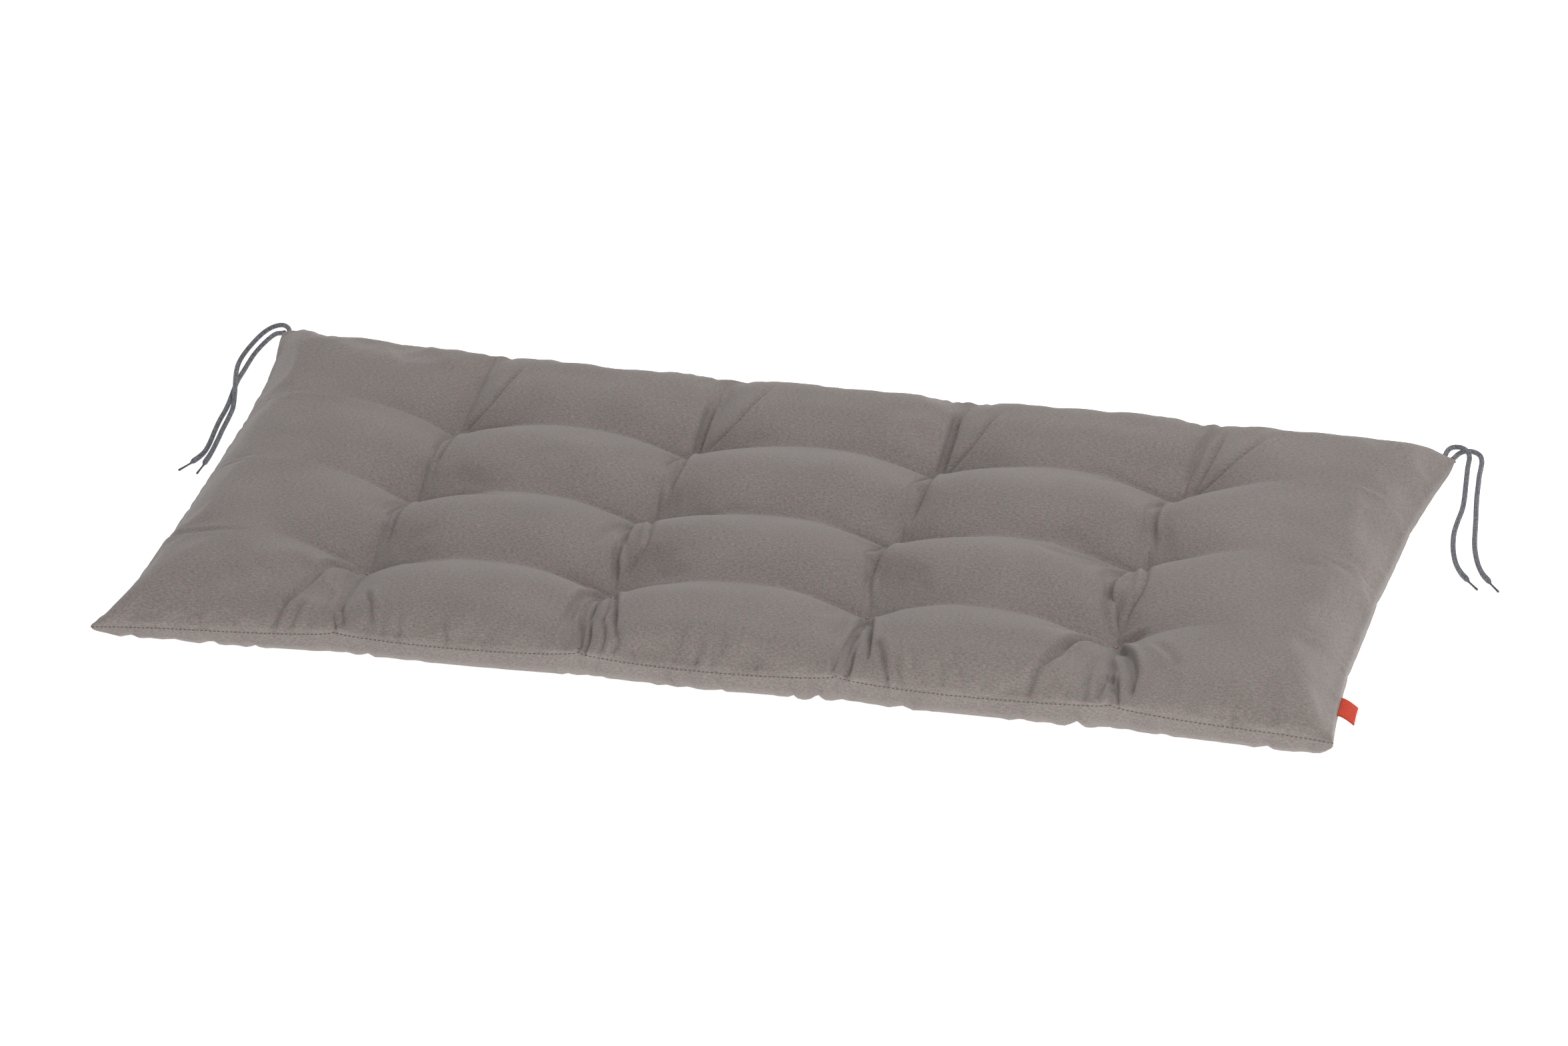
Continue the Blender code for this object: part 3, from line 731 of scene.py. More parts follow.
def blown_cloth(points):
    """How far each point of a panel moves when it is held at its rim and tufts and blown up."""
    rows, columns = points.shape[:2]
    faces = grid_faces(rows, columns).tolist()
    cloth = add_piece("cloth", new_mesh("cloth", points.reshape(-1, 3).tolist(), faces))
    held = np.zeros((rows, columns), bool)
    held[0] = held[-1] = held[:, 0] = held[:, -1] = True
    for row in range(BLOWN_FACES[0], rows - 1, BLOWN_FACES[0]):
        held[row - 1 : row + 2, BLOWN_FACES[1] : columns - 1 : BLOWN_FACES[1]] = True
    group = cloth.vertex_groups.new(name="held")
    group.add(np.flatnonzero(held).tolist(), 1.0, "REPLACE")
    modifier = cloth.modifiers.new("cloth", "CLOTH")
    for label, value in CLOTH_SETTINGS.items():
        setattr(modifier.settings, label, value)
    modifier.settings.effector_weights.gravity = 0
    modifier.collision_settings.use_collision = False
    modifier.point_cache.frame_end = CLOTH_FRAMES
    for step in range(1, CLOTH_FRAMES + 1):
        studio.frame_set(step)
    shown = cloth.evaluated_get(bpy.context.evaluated_depsgraph_get())
    blown = np.empty(points.size, np.float32)
    shown.data.vertices.foreach_get("co", blown)
    studio.frame_set(1)
    bpy.data.objects.remove(cloth)
    move = blown.reshape(points.shape) - points
    far = np.linalg.norm(move, axis=-1, keepdims=True)
    return move * np.minimum(1, CLOTH_MOST / np.maximum(far, TINY))


def halved(lines):
    """A new line between each two, with the old ones smoothed as a subdivision surface's are."""
    finer = np.empty((2 * len(lines) - 1,) + lines.shape[1:])
    finer[::2] = lines
    finer[2:-1:2] = (lines[:-2] + 6 * lines[1:-1] + lines[2:]) / 8
    finer[1::2] = (lines[1:] + lines[:-1]) / 2
    return finer


def resampled(field, old, new):
    """A field on the lines of one grid, read off on the lines of another."""
    for axis in (0, 1):
        place = np.interp(new[axis], old[axis], np.arange(len(old[axis])))
        low = np.minimum(place.astype(int), len(old[axis]) - 2)
        share = (place - low)[:, None, None]
        field = (field[low] * (1 - share) + field[low + 1] * share).swapaxes(0, 1)
    return field


def outward_normals(points, sign=1):
    normal = np.cross(np.gradient(points, axis=0), np.gradient(points, axis=1)) * sign
    return normal / np.maximum(np.linalg.norm(normal, axis=-1, keepdims=True), TINY)


FOLDS = [
    # tuft (column, row), then points of the fold from it in millimetres along X and Y, then its
    # width and depth in millimetres, and the side of it, left 1 or right -1, that is puffed up
    ((0, 2), ((1, 2), (25, 32), (39, 86)), 3.2, 4.0, -1),
    ((1, 2), ((0, 2), (-1, 34), (-3, 72)), 3.2, 4.5, 1),
    ((1, 2), ((2, 3), (31, 31), (50, 88)), 3.2, 4.0, -1),
    ((2, 2), ((0, 2), (0, 38), (-3, 87)), 3.2, 4.5, 1),
    ((2, 2), ((2, 3), (24, 28), (38, 73)), 3.2, 4.0, -1),
    ((3, 2), ((1, 2), (13, 32), (19, 84)), 3.2, 4.5, 1),
    ((3, 2), ((3, 2), (35, 26), (62, 76)), 3.2, 4.5, -1),
    ((0, 2), ((0, 0), (10, -30), (11, -60), (8, -95)), 2.6, 3.4, 1),
    ((0, 1), ((0, 0), (8, -28), (8, -60), (6, -95)), 2.6, 3.4, 1),
    ((1, 2), ((0, 0), (6, -28), (8, -58), (4, -95)), 2.6, 3.6, 1),
    ((1, 1), ((-3, -6), (-6, -28), (-6, -54), (-7, -72), (-3, -89), (0, -106)), 2.6, 4.4, 1),
    ((1, 1), ((6, -10), (17, -48), (18, -70), (10, -82), (4, -95), (2, -108)), 2.4, 3.4, -1),
    ((2, 2), ((0, 0), (6, -28), (6, -62), (0, -98)), 2.6, 3.6, 1),
    ((2, 1), ((0, 0), (4, -26), (-4, -62), (0, -95)), 2.6, 3.6, 1),
    ((3, 2), ((0, 0), (-8, -26), (-8, -62), (0, -98)), 2.6, 3.6, 1),
    ((3, 1), ((-4, 0), (-10, -20), (-15, -50), (-12, -81), (-7, -98), (2, -114)), 2.8, 5.4, 1),
    ((3, 1), ((4, -8), (14, -46), (15, -68), (11, -80), (7, -92), (5, -108)), 2.6, 4.6, -1),
    ((0, 0), ((0, 0), (-18, -20), (-33, -66), (-45, -105)), 3.6, 5.0, -1),
    ((1, 0), ((0, 0), (-8, -28), (-12, -60), (-12, -92)), 3.6, 5.0, -1),
    ((1, 0), ((0, 0), (14, -28), (24, -56), (34, -88)), 2.6, 4.5, 1),
    ((1, 0), ((-1, -16), (-3, -45), (-3, -66), (2, -86)), 2.2, 4.0, 1),
    ((1, 0), ((9, -28), (18, -62), (19, -88)), 2.0, 3.2, -1),
    ((2, 0), ((0, 0), (6, -34), (8, -74), (13, -110)), 3.0, 5.0, -1),
    ((2, 0), ((0, 0), (17, -42), (31, -98)), 2.6, 4.0, 1),
    ((2, 0), ((32, -76), (53, -112)), 3.0, 4.0, 1),
    ((3, 0), ((0, 0), (14, -26), (28, -52), (38, -78), (39, -100)), 3.0, 5.5, 1),
    ((3, 0), ((0, 0), (-12, -14), (-28, -41), (-42, -88), (-50, -106)), 3.6, 5.5, -1),
    ((3, 0), ((0, 0), (12, 2), (28, 4)), 2.6, 4.0, 1),
    ((3, 0), ((14, -70), (29, -106)), 2.6, 4.0, 1),
]
PUFF_PLACE = 1.9  # of a fold's puffed side, in widths from its bottom
PUFF_WIDTH = 1.2
PUFF_SHARE = 0.45
FOLD_RISE = 0.10  # share of a fold's length over which it deepens, and over which it runs out
FOLD_FALL = 0.25
TUFT_CALM = 0.007  # the folds leave this much of the cloth round a tuft as it is
SEAM_CALM = 0.004


def line_distance(places, line):
    """Each place's signed distance from a line, left of it positive, and its share along it."""
    nearest = np.full(places.shape[:-1], np.inf)
    signed = np.zeros(places.shape[:-1])
    share = np.zeros(places.shape[:-1])
    runs = np.linalg.norm(np.diff(line, axis=0), axis=1)
    done = 0.0
    for start, end, run in zip(line, line[1:], runs):
        way = (end - start) / run
        off = places - start
        along = np.clip(off @ way, 0, run)
        gap = off - along[..., None] * way
        distance = np.hypot(gap[..., 0], gap[..., 1])
        closer = distance < nearest
        left = np.sign(way[0] * off[..., 1] - way[1] * off[..., 0])
        nearest = np.where(closer, distance, nearest)
        signed = np.where(closer, distance * left, signed)
        share = np.where(closer, (done + along) / runs.sum(), share)
        done += run
    return signed, share


def fold_depth(places, folds, roots):
    """How far folds push each place of the face in, or out beside them where it is puffed."""
    valley = np.zeros(places.shape[:-1])
    ridge = np.zeros(places.shape[:-1])
    for root, line, width, deep, puffed in folds:
        knots = rough_route([Vector((*place, 0)) for place in line])
        signed, share = line_distance(places, roots[root] + np.array(knots)[:, :2] * MM)
        off = signed / (width * MM)
        fade = np.clip(share / FOLD_RISE, 0, 1) * np.clip((1 - share) / FOLD_FALL, 0, 1)
        valley = np.maximum(valley, deep * MM * np.exp(-(off**2)) * fade)
        puff = np.exp(-(((off * puffed - PUFF_PLACE) / PUFF_WIDTH) ** 2))
        ridge = np.maximum(ridge, PUFF_SHARE * deep * MM * puff * fade)
    return valley - ridge


SEAM_PLEATS = {
    # column of tufts: points of the pleat in millimetres along X from that column and over the
    # cloth from the front seam, then as in the folds above
    0: [
        (((-112, 2), (-118, 20)), 2.8, 2.2, 1), (((-83, 0), (-83, 14)), 2.4, 2.2, 1),
        (((-48, 4), (-43, 21), (-40, 48)), 3.0, 4.0, -1),
        (((-31, 5), (-29, 20), (-24, 41)), 3.0, 3.0, -1), (((-7, 20), (-7, 55)), 3.0, 2.4, -1),
        (((16, 8), (11, 21), (4, 36)), 2.4, 3.4, 1), (((10, 2), (6, 16), (0, 27)), 1.8, 3.0, -1),
        (((42, 14), (35, 35), (22, 55)), 3.0, 3.6, -1), (((53, 5), (51, 27)), 2.6, 2.4, 1),
        (((67, 5), (65, 28)), 2.6, 2.6, -1),
    ],
    1: [
        (((-112, 3), (-120, 28)), 2.8, 3.0, 1), (((-81, 5), (-77, 25)), 2.8, 2.2, 1),
        (((-71, 12), (-68, 30)), 2.8, 1.8, -1), (((6, 2), (3, 18), (-4, 47)), 2.0, 4.4, 1),
        (((11, 1), (12, 15), (5, 40)), 2.0, 4.0, -1), (((25, 5), (26, 21), (19, 40)), 2.4, 3.2, 1),
        (((35, 6), (39, 18), (31, 33), (22, 60)), 2.8, 4.2, 1), (((54, 1), (52, 14)), 2.0, 2.2, 1),
        (((92, 5), (90, 20), (84, 41)), 3.0, 2.0, 1), (((93, 19), (96, 44)), 3.0, 2.4, -1),
        (((110, 5), (113, 30)), 2.6, 2.8, -1),
    ],
    2: [
        (((-97, 2), (-100, 18)), 2.4, 2.2, 1), (((-89, 17), (-97, 38)), 3.0, 1.8, -1),
        (((-61, 5), (-65, 24)), 2.4, 2.0, 1), (((6, 3), (7, 30)), 2.6, 3.4, 1),
        (((18, 2), (21, 13), (18, 40)), 2.4, 5.0, -1), (((35, 21), (26, 56), (18, 80)), 2.4, 4.6, 1),
        (((55, 3), (51, 15), (39, 37)), 2.6, 4.0, 1), (((66, 3), (65, 11), (56, 33)), 2.6, 3.2, 1),
        (((78, 18), (70, 38)), 3.0, 2.2, 1), (((103, 8), (99, 32)), 2.8, 2.6, -1),
        (((110, 24), (104, 46)), 3.0, 2.2, 1),
    ],
    3: [
        (((-103, 4), (-108, 26)), 2.6, 2.6, 1), (((-47, 5), (-45, 23), (-40, 46)), 3.0, 3.4, -1),
        (((-16, 2), (-12, 16)), 2.2, 2.4, -1), (((2, 2), (-1, 23), (-3, 60)), 2.8, 3.2, -1),
        (((11, 6), (14, 36)), 2.4, 3.0, -1), (((24, 2), (24, 11), (19, 30)), 2.0, 3.6, -1),
        (((30, 2), (28, 16), (22, 38)), 2.2, 5.0, 1),
        (((39, 14), (37, 30), (28, 52), (11, 88)), 2.8, 5.0, 1),
        (((-40, 32), (-30, 57), (-25, 81), (-17, 97), (-2, 100)), 3.2, 4.4, -1),
        (((72, 52), (63, 69), (40, 93)), 3.6, 3.0, 1), (((127, 2), (128, 24)), 2.6, 3.0, 1),
    ],
}
PUCKERS = {
    # panel: seed, spacing, width, reach and depth of the small pleats at the seam, and the shares
    # of that depth at the front, back, left and right
    "face": (11, 0.016, 0.0036, 0.022, 0.0022, (0.3, 0.5, 0.3, 0.1)),
    "under": (23, 0.019, 0.0048, 0.045, 0.0046, (1.0, 0.3, 0.4, 0.05)),
}
FRONT_DIPS = (
    # places of the front dips of the underside, in millimetres along X, as the cover gathers there
    *(-520, -478, -446, -410, -345, -303, -254, -196, -129, -94, -47, -28, -13, 12, 74),
    *(95, 135, 184, 200, 251, 275, 319, 342, 371, 408, 447, 489, 521),
)
PUCKER_PLAIN = 0.75  # of a pleat's depth and reach, away from the tufts
PUCKER_GATHER = 0.070
PUCKER_FAN = 0.150  # distance at which the pleats would meet
PLEAT_SHIFT = 0.45  # either way, in spacings
PLEAT_WIDTHS = (0.7, 1.4)  # least and most of each, as shares
PLEAT_REACHES = (0.5, 1.3)
PLEAT_DEPTHS = (0.3, 1.3)
PLEAT_TILT = 0.15
SEAM_SINK = 0.0014  # how deep the seam lies between the two panels
SEAM_SINK_REACH = 0.0018
SEAM_PUFF = 0.0008  # how far each panel stands out beside it
SEAM_PUFF_PLACE = 0.006


def rim_distances(points):
    """Distances over the cloth from each point to the front, back, left and right seams."""
    steps_across = np.linalg.norm(np.diff(points, axis=1), axis=-1)
    steps_along = np.linalg.norm(np.diff(points, axis=0), axis=-1)
    from_front = np.pad(np.cumsum(steps_across, 1), ((0, 0), (1, 0)))
    from_left = np.pad(np.cumsum(steps_along, 0), ((1, 0), (0, 0)))
    return from_front, from_front[:, -1:] - from_front, from_left, from_left[-1:] - from_left


def pleat_middles(places, spacing, chance):
    middles = np.arange(places.min(), places.max(), spacing)
    return middles + chance.uniform(-PLEAT_SHIFT, PLEAT_SHIFT, len(middles)) * spacing


def pucker_depth(places, distance, tufts, middles, settings, chance):
    """Pleats that fan in from a seam towards the tufts, deepest where the tufts gather it."""
    _, _, width, reach, deep, _ = settings
    depth = np.zeros(distance.shape)
    for middle in middles:
        to_tuft = tufts[np.argmin(np.abs(tufts - middle))] - middle
        gather = blend(PUCKER_PLAIN, 1, hat(to_tuft, PUCKER_GATHER))
        wide = width * chance.uniform(*PLEAT_WIDTHS)
        long = reach * chance.uniform(*PLEAT_REACHES) * gather
        tilt = to_tuft * hat(to_tuft, 2 * PUCKER_GATHER) / PUCKER_FAN
        tilt += chance.uniform(-PLEAT_TILT, PLEAT_TILT)
        off = (places - middle - tilt * distance) / wide
        pleat = np.exp(-(off**2)) - PUFF_SHARE * np.exp(-((np.abs(off) - PUFF_PLACE) ** 2))
        fade = np.exp(-((distance / long) ** 2)) * chance.uniform(*PLEAT_DEPTHS) * gather
        depth += deep * pleat * fade
    return depth


def gathered(points, panel, sign):
    """The panel with its seam sunk, its cloth puffed beside it and its small pleats."""
    chance = np.random.default_rng(PUCKERS[panel][0])
    normal = outward_normals(points, sign)
    distances = rim_distances(points)
    depth = np.zeros(points.shape[:2])
    for side, distance in enumerate(distances):
        places = points[..., side // 2]
        tufts = TUFT_X if side < 2 else TUFT_Y
        middles = pleat_middles(places, PUCKERS[panel][1], chance)
        if (panel, side) == ("under", 0):
            middles = np.array(FRONT_DIPS) * MM
        depth += PUCKERS[panel][-1][side] * pucker_depth(
            places, distance, tufts, middles, PUCKERS[panel], chance
        )
    rim = np.minimum.reduce(distances)
    depth -= SEAM_PUFF * (rim / SEAM_PUFF_PLACE) * np.exp(1 - rim / SEAM_PUFF_PLACE)
    depth[0] = depth[-1] = depth[:, 0] = depth[:, -1] = 0
    inward = np.zeros(points.shape)
    for side, distance in enumerate(distances):
        inward[..., 1 - side // 2] += np.where(distance == rim, (1, -1)[side % 2], 0)
    sink = SEAM_SINK * np.exp(-((rim / SEAM_SINK_REACH) ** 2))
    return points - normal * depth[..., None] + inward * sink[..., None]


def spread(points, axis):
    """How far each line of a panel is from its first, over the cloth, on average."""
    steps = np.linalg.norm(np.diff(points, axis=axis), axis=-1).mean(1 - axis)
    return np.concatenate([[0], np.cumsum(steps)])


shares = panel_shares(COVER_FACES)
cloth_face = face_points(*panel_grid(*shares))
blown_shares = panel_shares(BLOWN_FACES)
move = blown_cloth(face_points(*panel_grid(*blown_shares)))
move = halved(halved(move).swapaxes(0, 1)).swapaxes(0, 1)
cloth_face += resampled(move, [halved(line) for line in blown_shares], shares)
tuft_places = np.stack(np.meshgrid(TUFT_X, TUFT_Y, indexing="ij"), -1) + TUFT_DRIFT * MM
off_tufts = cloth_face[..., None, None, :2] - tuft_places
from_tufts = np.linalg.norm(off_tufts, axis=-1).min((-1, -2))
from_seams = rim_distances(cloth_face)
to_front = np.stack([cloth_face[..., 0], from_seams[0]], -1)
folded = fold_depth(cloth_face[..., :2], FOLDS, tuft_places)
pleats = [(column, *pleat) for column, rows in SEAM_PLEATS.items() for pleat in rows]
folded += fold_depth(to_front, pleats, np.stack([TUFT_X, TUFT_X * 0], -1))
folded *= 1 - np.exp(-((from_tufts / TUFT_CALM) ** 2))
folded *= np.minimum(np.minimum.reduce(from_seams) / SEAM_CALM, 1)
cloth_face -= outward_normals(cloth_face) * folded[..., None]
cloth_face = gathered(cloth_face, "face", 1)
underside = gathered(under_points(*panel_grid(*(line[::2] for line in shares))), "under", -1)
underside[..., 2] = np.maximum(underside[..., 2], 0)
face_rows, face_columns = cloth_face.shape[:2]
under_rows, under_columns = underside.shape[:2]


def under_faces():
    """Faces of the underside, whose rim takes every point of the face's finer rim."""
    face_number = np.arange(face_rows * face_columns).reshape(face_rows, face_columns)
    number = np.full((under_rows, under_columns), -1)
    inside = (under_rows - 2) * (under_columns - 2)
    number[1:-1, 1:-1] = face_number.size + np.arange(inside).reshape(under_rows - 2, -1)
    for edge in (np.s_[0], np.s_[-1], np.s_[:, 0], np.s_[:, -1]):
        number[edge] = face_number[::2, ::2][edge]
    faces = []
    for row in range(under_rows - 1):
        for column in range(under_columns - 1):
            ring = [(row, column), (row, column + 1), (row + 1, column + 1), (row + 1, column)]
            face = []
            for (a, b), (c, d) in zip(ring, ring[1:] + ring[:1]):
                face.append((number[a, b], a, b))
                level = a == c and a in (0, under_rows - 1)
                upright = b == d and b in (0, under_columns - 1)
                if level or upright:
                    face.append((face_number[a + c, b + d], (a + c) / 2, (b + d) / 2))
            faces.append(face)
    return faces


def cover_mesh():
    """Both panels in one closed mesh, with the cloth's own lie in metres as its UV map."""
    low_faces = under_faces()
    top_faces = grid_faces(face_rows, face_columns)
    points = np.concatenate([cloth_face.reshape(-1, 3), underside[1:-1, 1:-1].reshape(-1, 3)])
    faces = top_faces.tolist() + [[corner[0] for corner in face] for face in low_faces]
    mesh = new_mesh("cover", points.tolist(), faces)
    row, column = np.divmod(top_faces.reshape(-1), face_columns)
    top_lie = (spread(cloth_face, 0)[row], spread(cloth_face, 1)[column])
    row, column = np.array([corner[1:] for face in low_faces for corner in face]).T
    low_u = np.interp(row, np.arange(under_rows), spread(underside, 0))
    low_v = np.interp(column, np.arange(under_columns), spread(underside, 1)) + 2 * WIDTH
    lie = mesh.uv_layers.new(name="cloth_lie")
    lie.data.foreach_set("uv", np.hstack([top_lie, (low_u, low_v)]).T.ravel())
    mesh.validate()
    return mesh


YARNS = {
    # marks to a metre along and across the cloth, how detailed they are, and where they start
    "weft": (300, 950, 1.5, 0),
    "warp": (900, 420, 1.5, 5),
    "slub": (120, 700, 1.0, 11),
    "tint": (200, 400, 1.5, 17),
    "broad": (14, 22, 3.0, 23),
}
WEFT_SHARE = 0.62
YARN_TONES = (0.33, 0.67)  # the mix at which the cloth is dark and light
CLOTH_COLOURS = ((0.182, 0.157, 0.148), (0.272, 0.238, 0.223))
CLOTH_TINTS = ((1.055, 0.983, 1.000), (0.948, 1.017, 0.970))  # pinkish and greenish
TINT_TONES = (0.36, 0.64)
SLUB_COLOUR = (0.36, 0.335, 0.31)
SLUB_TONES = (0.62, 0.78, 0, 0.30)  # from the noise to the share of the slubs' colour
CLOTH_SHADE = (0.25, 0.75, 0.95, 1.05)  # from the broad noise to how bright the cloth is
CLOTH_FINISH = {
    "Roughness": 0.92,
    "Specular IOR Level": 0.25,
    "Sheen Weight": 0.22,
    "Sheen Roughness": 0.5,
}
YARN_PITCH = 0.00065
RIB_SHARE = 0.6
CLOTH_RELIEF = (0.5, 0.00025)


def heather_cloth():
    """Plain weave of yarns dyed in several greys, so it shows slubs and flecks both ways."""
    material, bench, shader = new_material("melange_weave", CLOTH_FINISH)
    lie = bench.add("ShaderNodeUVMap", uv_map="cloth_lie")
    seen = {}
    for yarn, (along, across, detail, start) in YARNS.items():
        laid = {"Vector": lie, "Location": (start, start, 0), "Scale": (along, across, 1)}
        seen[yarn] = bench.noise(bench.add("ShaderNodeMapping", laid), detail=detail)
    warp = bench.times(seen["warp"], 1 - WEFT_SHARE)
    spun = bench.math("MULTIPLY_ADD", seen["weft"], WEFT_SHARE, warp)
    grey = bench.mixed(bench.eased(spun, *YARN_TONES), *CLOTH_COLOURS)
    tint = bench.mixed(bench.eased(seen["tint"], *TINT_TONES), *CLOTH_TINTS)
    cloth = bench.mixed(1.0, grey, tint, blend_type="MULTIPLY")
    bright = bench.mixed(bench.eased(seen["slub"], *SLUB_TONES), cloth, SLUB_COLOUR)
    colour = bench.scaled(bright, bench.eased(seen["broad"], *CLOTH_SHADE))
    ribs = [bench.math("SINE", bench.times(way, math.pi / YARN_PITCH)) for way in bench.split(lie)[:2]]
    crossed = bench.math("ABSOLUTE", bench.times(*ribs))
    height = bench.math("MULTIPLY_ADD", crossed, RIB_SHARE, spun)
    bench.surface(shader, colour, height, *CLOTH_RELIEF)
    return material


cover_cloth = heather_cloth()
cover = add_piece("cover", cover_mesh(), cover_cloth)
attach(cover, "root")
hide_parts("cushion")

# Seam stitches. One row of dark thread goes round the whole rim, where the two panels meet, and
# only its short visible runs between the needle holes show.
STITCHES = {"Spacing": 0.0039, "Length": 0.0027, "Thickness": 0.00065}
STITCH_FACES = {"Segments": 6, "Rings": 4, "Radius": 0.5}
STITCH_OUT = 0.0006  # how far the thread lies proud of the bottom of the seam
END_STITCH_OUT = -0.0003  # the same on the two short sides, where the cover closes over it
THREAD_FINISH = {"Roughness": 0.7}
THREAD_TONES = (0.35, 0.65)
THREAD_PLY = (0.4, 0.0001)


def sewing_thread(name, colours, flecks):
    material, bench, shader = new_material(name, THREAD_FINISH)
    twist = bench.noise(bench.place(), flecks)
    colour = bench.mixed(bench.eased(twist, *THREAD_TONES), *colours)
    bench.surface(shader, colour, twist, *THREAD_PLY)
    return material


def stitch_tree(material):
    """Short rounded threads laid end to end along the seam."""
    tree, size = growing_tree("seam stitches", STITCHES)
    bench = NodeBench(tree)
    evenly = {0: size["Geometry"], "Length": size["Spacing"]}
    line = bench.add("GeometryNodeResampleCurve", evenly, mode="LENGTH")
    bead = bench.add("GeometryNodeMeshUVSphere", STITCH_FACES)
    thick = size["Thickness"]
    shape = bench.add("ShaderNodeCombineXYZ", {0: thick, 1: thick, 2: size["Length"]})
    thread = bench.add("GeometryNodeTransform", {0: bead, "Scale": shape})
    way = bench.add("GeometryNodeInputTangent")
    turn = bench.add("FunctionNodeAlignRotationToVector", {"Vector": way}, axis="Z")
    laid = {"Points": line, "Instance": thread, "Rotation": turn}
    end_tree(bench, bench.add("GeometryNodeInstanceOnPoints", laid), material)
    return tree


seam_thread = sewing_thread("seam_thread", ((0.040, 0.032, 0.030), (0.120, 0.098, 0.092)), 2600)
rim = np.concatenate([cloth_face[:, 0], cloth_face[-1, 1:], cloth_face[-2::-1, -1], cloth_face[0, -2:0:-1]])
ahead = np.roll(rim, -1, axis=0) - np.roll(rim, 1, axis=0)
outward = np.cross(ahead, (0, 0, 1))
outward /= np.linalg.norm(outward, axis=1, keepdims=True)
proud = blend(STITCH_OUT, END_STITCH_OUT, outward[:, :1] ** 2)
seam_line = line_curve("seam", rim + outward * proud, closed=True)
stitches = grown_piece("seam_stitches", seam_line, stitch_tree(seam_thread), STITCHES)
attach(stitches, "root")


# Tufts. At each of the twelve points a bar tack of brown and beige thread, a few passes side by
# side, ties the face down to the underside.
TACK_PASSES = 4
TACK_STEPS = 8
TACK_LENGTH = 0.0045
TACK_PITCH = 0.0005
TACK_RISE = 0.0012
TACK_SINK = 0.0002
TACK_TURN = math.radians(-35)
TACK = {"Thread": 0.0006}
TACK_SIDES = 8


def tack_tree(material):
    tree, size = growing_tree("bar tacks", TACK)
    bench = NodeBench(tree)
    ring = bench.add("GeometryNodeCurvePrimitiveCircle", {"Resolution": TACK_SIDES, "Radius": 0.5})
    swept = {0: size["Geometry"], 1: ring, "Scale": size["Thread"], "Fill Caps": True}
    end_tree(bench, bench.add("GeometryNodeCurveToMesh", swept), material)
    return tree


tacks = bpy.data.curves.new("tuft_tacks", "CURVE")
tacks.dimensions = "3D"
tack_along = Vector((math.cos(TACK_TURN), math.sin(TACK_TURN), 0))
tack_across = Vector((-tack_along.y, tack_along.x, 0))
for tuft in cloth_face[:: COVER_FACES[0], :: COVER_FACES[1]][1:-1, 1:-1].reshape(-1, 3):
    for number in range(TACK_PASSES):
        spline = tacks.splines.new("POLY")
        spline.points.add(TACK_STEPS)
        for k, point in enumerate(spline.points):
            t = k / TACK_STEPS
            place = Vector(tuft) + tack_along * TACK_LENGTH * (t - 0.5)
            place += tack_across * TACK_PITCH * (number - (TACK_PASSES - 1) / 2)
            place.z += TACK_RISE * math.sin(math.pi * t) - TACK_SINK
            point.co = (*place, 1)
tack_thread = sewing_thread("tack_thread", ((0.120, 0.075, 0.055), (0.560, 0.430, 0.385)), 420)
tuft_tacks = grown_piece("tuft_tacks", tacks, tack_tree(tack_thread), TACK)
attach(tuft_tacks, "root")


# Side tag. A strip of orange red woven tape, folded double and caught by its two ends in the
# right-hand seam. It hangs a little and is left bare.
TAG_WIDTH = 0.0275
TAG_REACH = 0.0150
TAG_THICKNESS = 0.0012
TAG_DROOP = 0.0075
TAG_DROOP_POWER = 1.5
TAG_MIDDLE = 0.168  # how far it is in front of the cushion's middle
TAG_CURL = 0.0010
TAPE_THICKNESS = 0.00045
TAPE_STEPS = 18
TAPE_WIDE = 28
TAPE_FOLD_STEPS = 8
TAPE_TUCK = -0.08  # how far into the seam it goes, as a share of its reach
TAPE_FOLD = 0.94  # where its fold starts
TAPE_RIB = 0.00042
TAPE_WARP = 0.00030
TAPE_WARP_SHARE = 0.4
TAPE_STREAKS = (260, 1500, 1)
TAPE_RIB_TONE = 0.10
TAPE_TONES = (0.3, 0.7)
TAPE_COLOURS = ((0.47, 0.030, 0.008), (0.66, 0.052, 0.012))
TAPE_EDGE_COLOUR = (0.41, 0.025, 0.008)
TAPE_EDGE = (0.0122, 0.0133, 0, 0.45)  # from the distance to its middle to the share of that colour
TAPE_FINISH = {"Roughness": 0.55, "Specular IOR Level": 0.2, "Sheen Weight": 0.05}
TAPE_RELIEF = (0.4, 0.00008)


def tag_point(out, wide, lift=0.0):
    """A point of the tag: out of the seam from 0 to 1, along it from -1 to 1, and above it."""
    y = TAG_WIDTH / 2 * wide - TAG_MIDDLE
    root = seam("right", 0.5 + y / WIDTH)
    flat_reach = math.sqrt(TAG_REACH**2 - TAG_DROOP**2)
    x = root[0] + TOUCH_GAP + TAG_THICKNESS / 2 + flat_reach * out
    z = root[2] - end_tuck(1, 0.5 + y / WIDTH) + lift
    z -= TAG_DROOP * max(out, 0) ** TAG_DROOP_POWER + TAG_CURL * wide**2 * out
    return (x, y, z)


def tape_section(gap):
    """Out of the seam, round the fold and back, as (out, lift) at a distance from its middle."""
    level = [(out, gap) for out in np.linspace(TAPE_TUCK, TAPE_FOLD, TAPE_STEPS)]
    turns = np.linspace(0, math.pi, TAPE_FOLD_STEPS)[1:-1]
    fold = [(TAPE_FOLD + (1 - TAPE_FOLD) * math.sin(t), gap * math.cos(t)) for t in turns]
    return level + fold + [(out, -lift) for out, lift in reversed(level)]


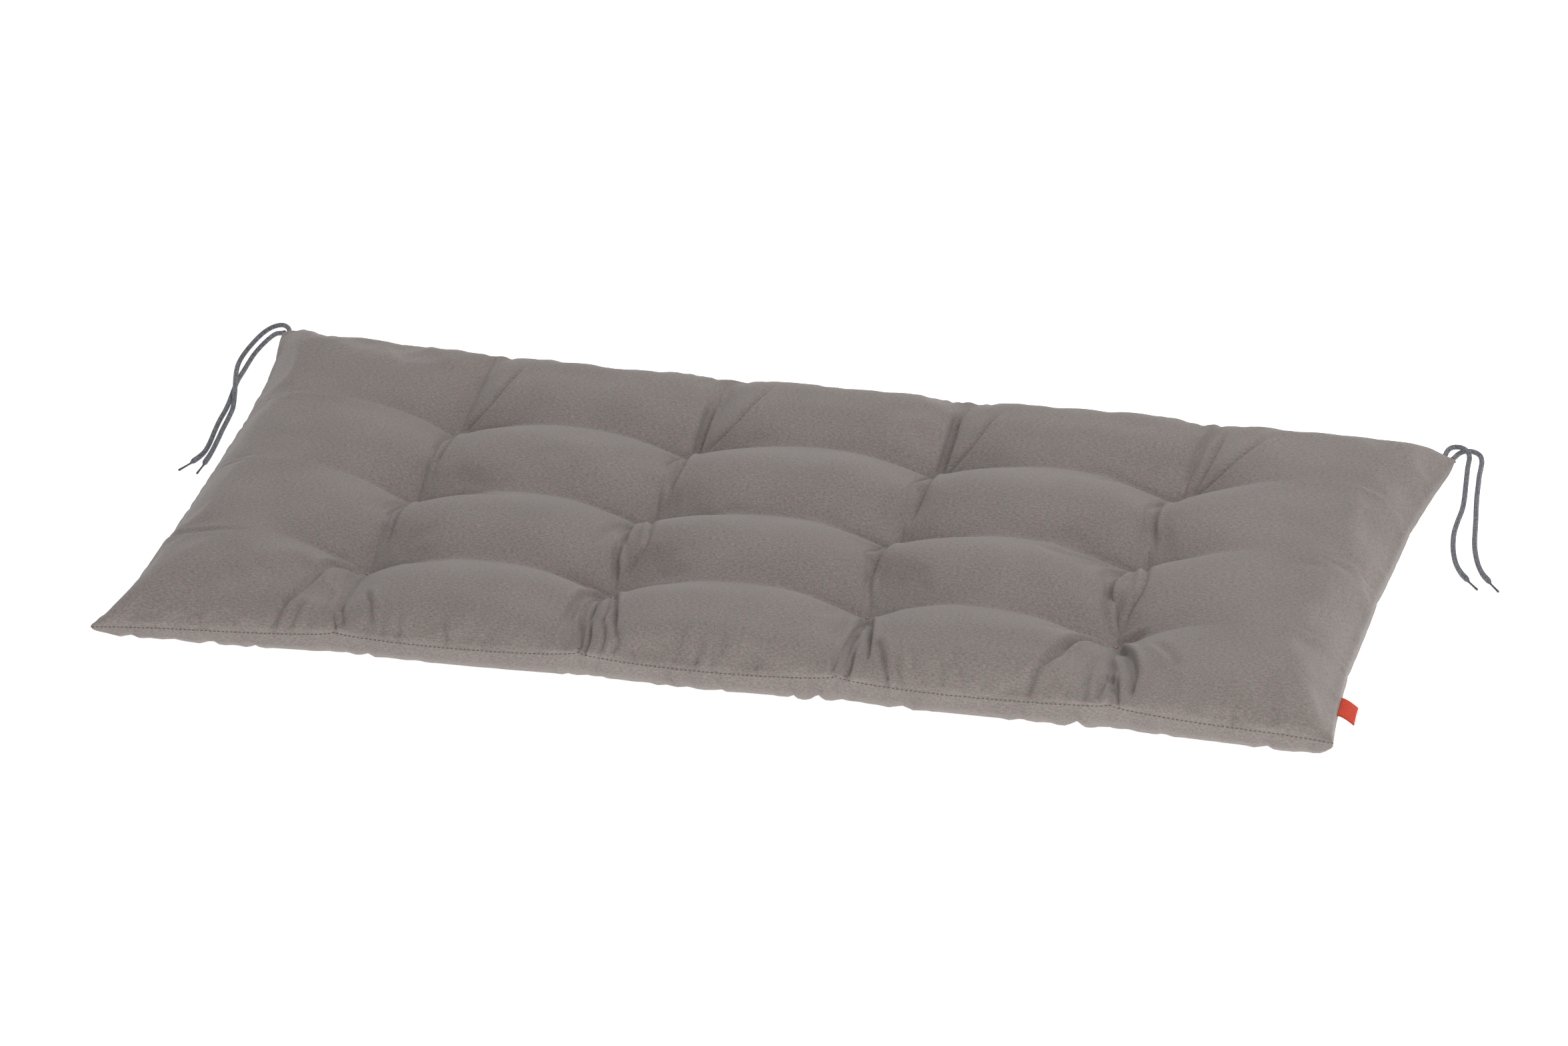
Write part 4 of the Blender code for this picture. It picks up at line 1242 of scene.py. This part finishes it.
def tag_mesh():
    outer = tape_section(TAG_THICKNESS / 2)
    ring = outer + tape_section(TAG_THICKNESS / 2 - TAPE_THICKNESS)[::-1]
    wides = np.linspace(-1, 1, TAPE_WIDE + 1)
    points = [tag_point(out, wide, lift) for wide in wides for out, lift in ring]
    count = len(ring)
    half = len(outer)
    faces = grid_faces(len(wides), count, closed=True)[:, ::-1].tolist()
    for k in range(half - 1):
        quad = (k, k + 1, count - 2 - k, count - 1 - k)
        faces.append(quad[::-1])
        faces.append([TAPE_WIDE * count + number for number in quad])
    mesh = new_mesh("folded_tag", points, faces)
    lie = mesh.uv_layers.new(name="tape_lie")
    for loop in mesh.loops:
        row, k = divmod(loop.vertex_index, count)
        step = min(k, count - 1 - k)
        out = outer[step][0]
        turned = out if step < half / 2 else 2 - out
        lie.data[loop.index].uv = (wides[row] * TAG_WIDTH / 2, turned * TAG_REACH)
    return mesh


def woven_tape():
    """Tightly woven satin tape: fine ribs across it and firmer, darker edges."""
    material, bench, shader = new_material("tag_tape", TAPE_FINISH)
    lie = bench.add("ShaderNodeUVMap", uv_map="tape_lie")
    across, along, _ = bench.split(lie)
    ribs = bench.math("SINE", bench.times(along, math.tau / TAPE_RIB))
    warps = bench.math("SINE", bench.times(across, math.tau / TAPE_WARP))
    relief = bench.math("MULTIPLY_ADD", warps, TAPE_WARP_SHARE, ribs)
    streak = bench.noise(bench.add("ShaderNodeMapping", {"Vector": lie, "Scale": TAPE_STREAKS}))
    tone = bench.math("MULTIPLY_ADD", ribs, TAPE_RIB_TONE, streak)
    base = bench.mixed(bench.eased(tone, *TAPE_TONES), *TAPE_COLOURS)
    edge = bench.eased(bench.math("ABSOLUTE", across), *TAPE_EDGE)
    bench.surface(shader, bench.mixed(edge, base, TAPE_EDGE_COLOUR), relief, *TAPE_RELIEF)
    return material


side_tag = add_piece("folded_tag", tag_mesh(), woven_tape())
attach(side_tag, "root")
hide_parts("side_tag")

# Studio. A wide white floor that glows a little, a white surround, and two large soft lamps, one
# in front on the right and one behind.
WHITE = (1, 1, 1, 1)
FLOOR_HALF = 30
FLOOR_LOOK = {
    "Base Color": (0.92, 0.92, 0.92, 1),
    "Roughness": 0.8,
    "Emission Color": WHITE,
    "Emission Strength": 0.80,
}
SURROUND = {"Color": WHITE, "Strength": 0.58}
LAMPS = {
    # name: place, size, power
    "front_lamp": (Vector((1.9, -1.7, 2.1)), 2.0, 37),
    "back_lamp": (Vector((0.5, 2.2, 2.6)), 2.4, 26),
}

corners = [(x * FLOOR_HALF, y * FLOOR_HALF, 0) for x, y in ((-1, -1), (1, -1), (1, 1), (-1, 1))]
floor_mesh = new_mesh("floor", corners, [range(4)])
floor = add_piece("floor", floor_mesh, new_material("white_floor", FLOOR_LOOK)[0])
surround = bpy.data.worlds.new("surround")
surround.use_nodes = True
for label, value in SURROUND.items():
    surround.node_tree.nodes["Background"].inputs[label].default_value = value
studio.world = surround
for name, (place, size, power) in LAMPS.items():
    lamp = bpy.data.lights.new(name, "AREA")
    lamp.size = size
    lamp.energy = power
    stand = bpy.data.objects.new(name, lamp)
    stand.location = place
    stand.rotation_euler = (-place).to_track_quat("-Z", "Y").to_euler()
    studio.collection.objects.link(stand)
studio.view_settings.view_transform = "Standard"
bpy.context.view_layer.update()
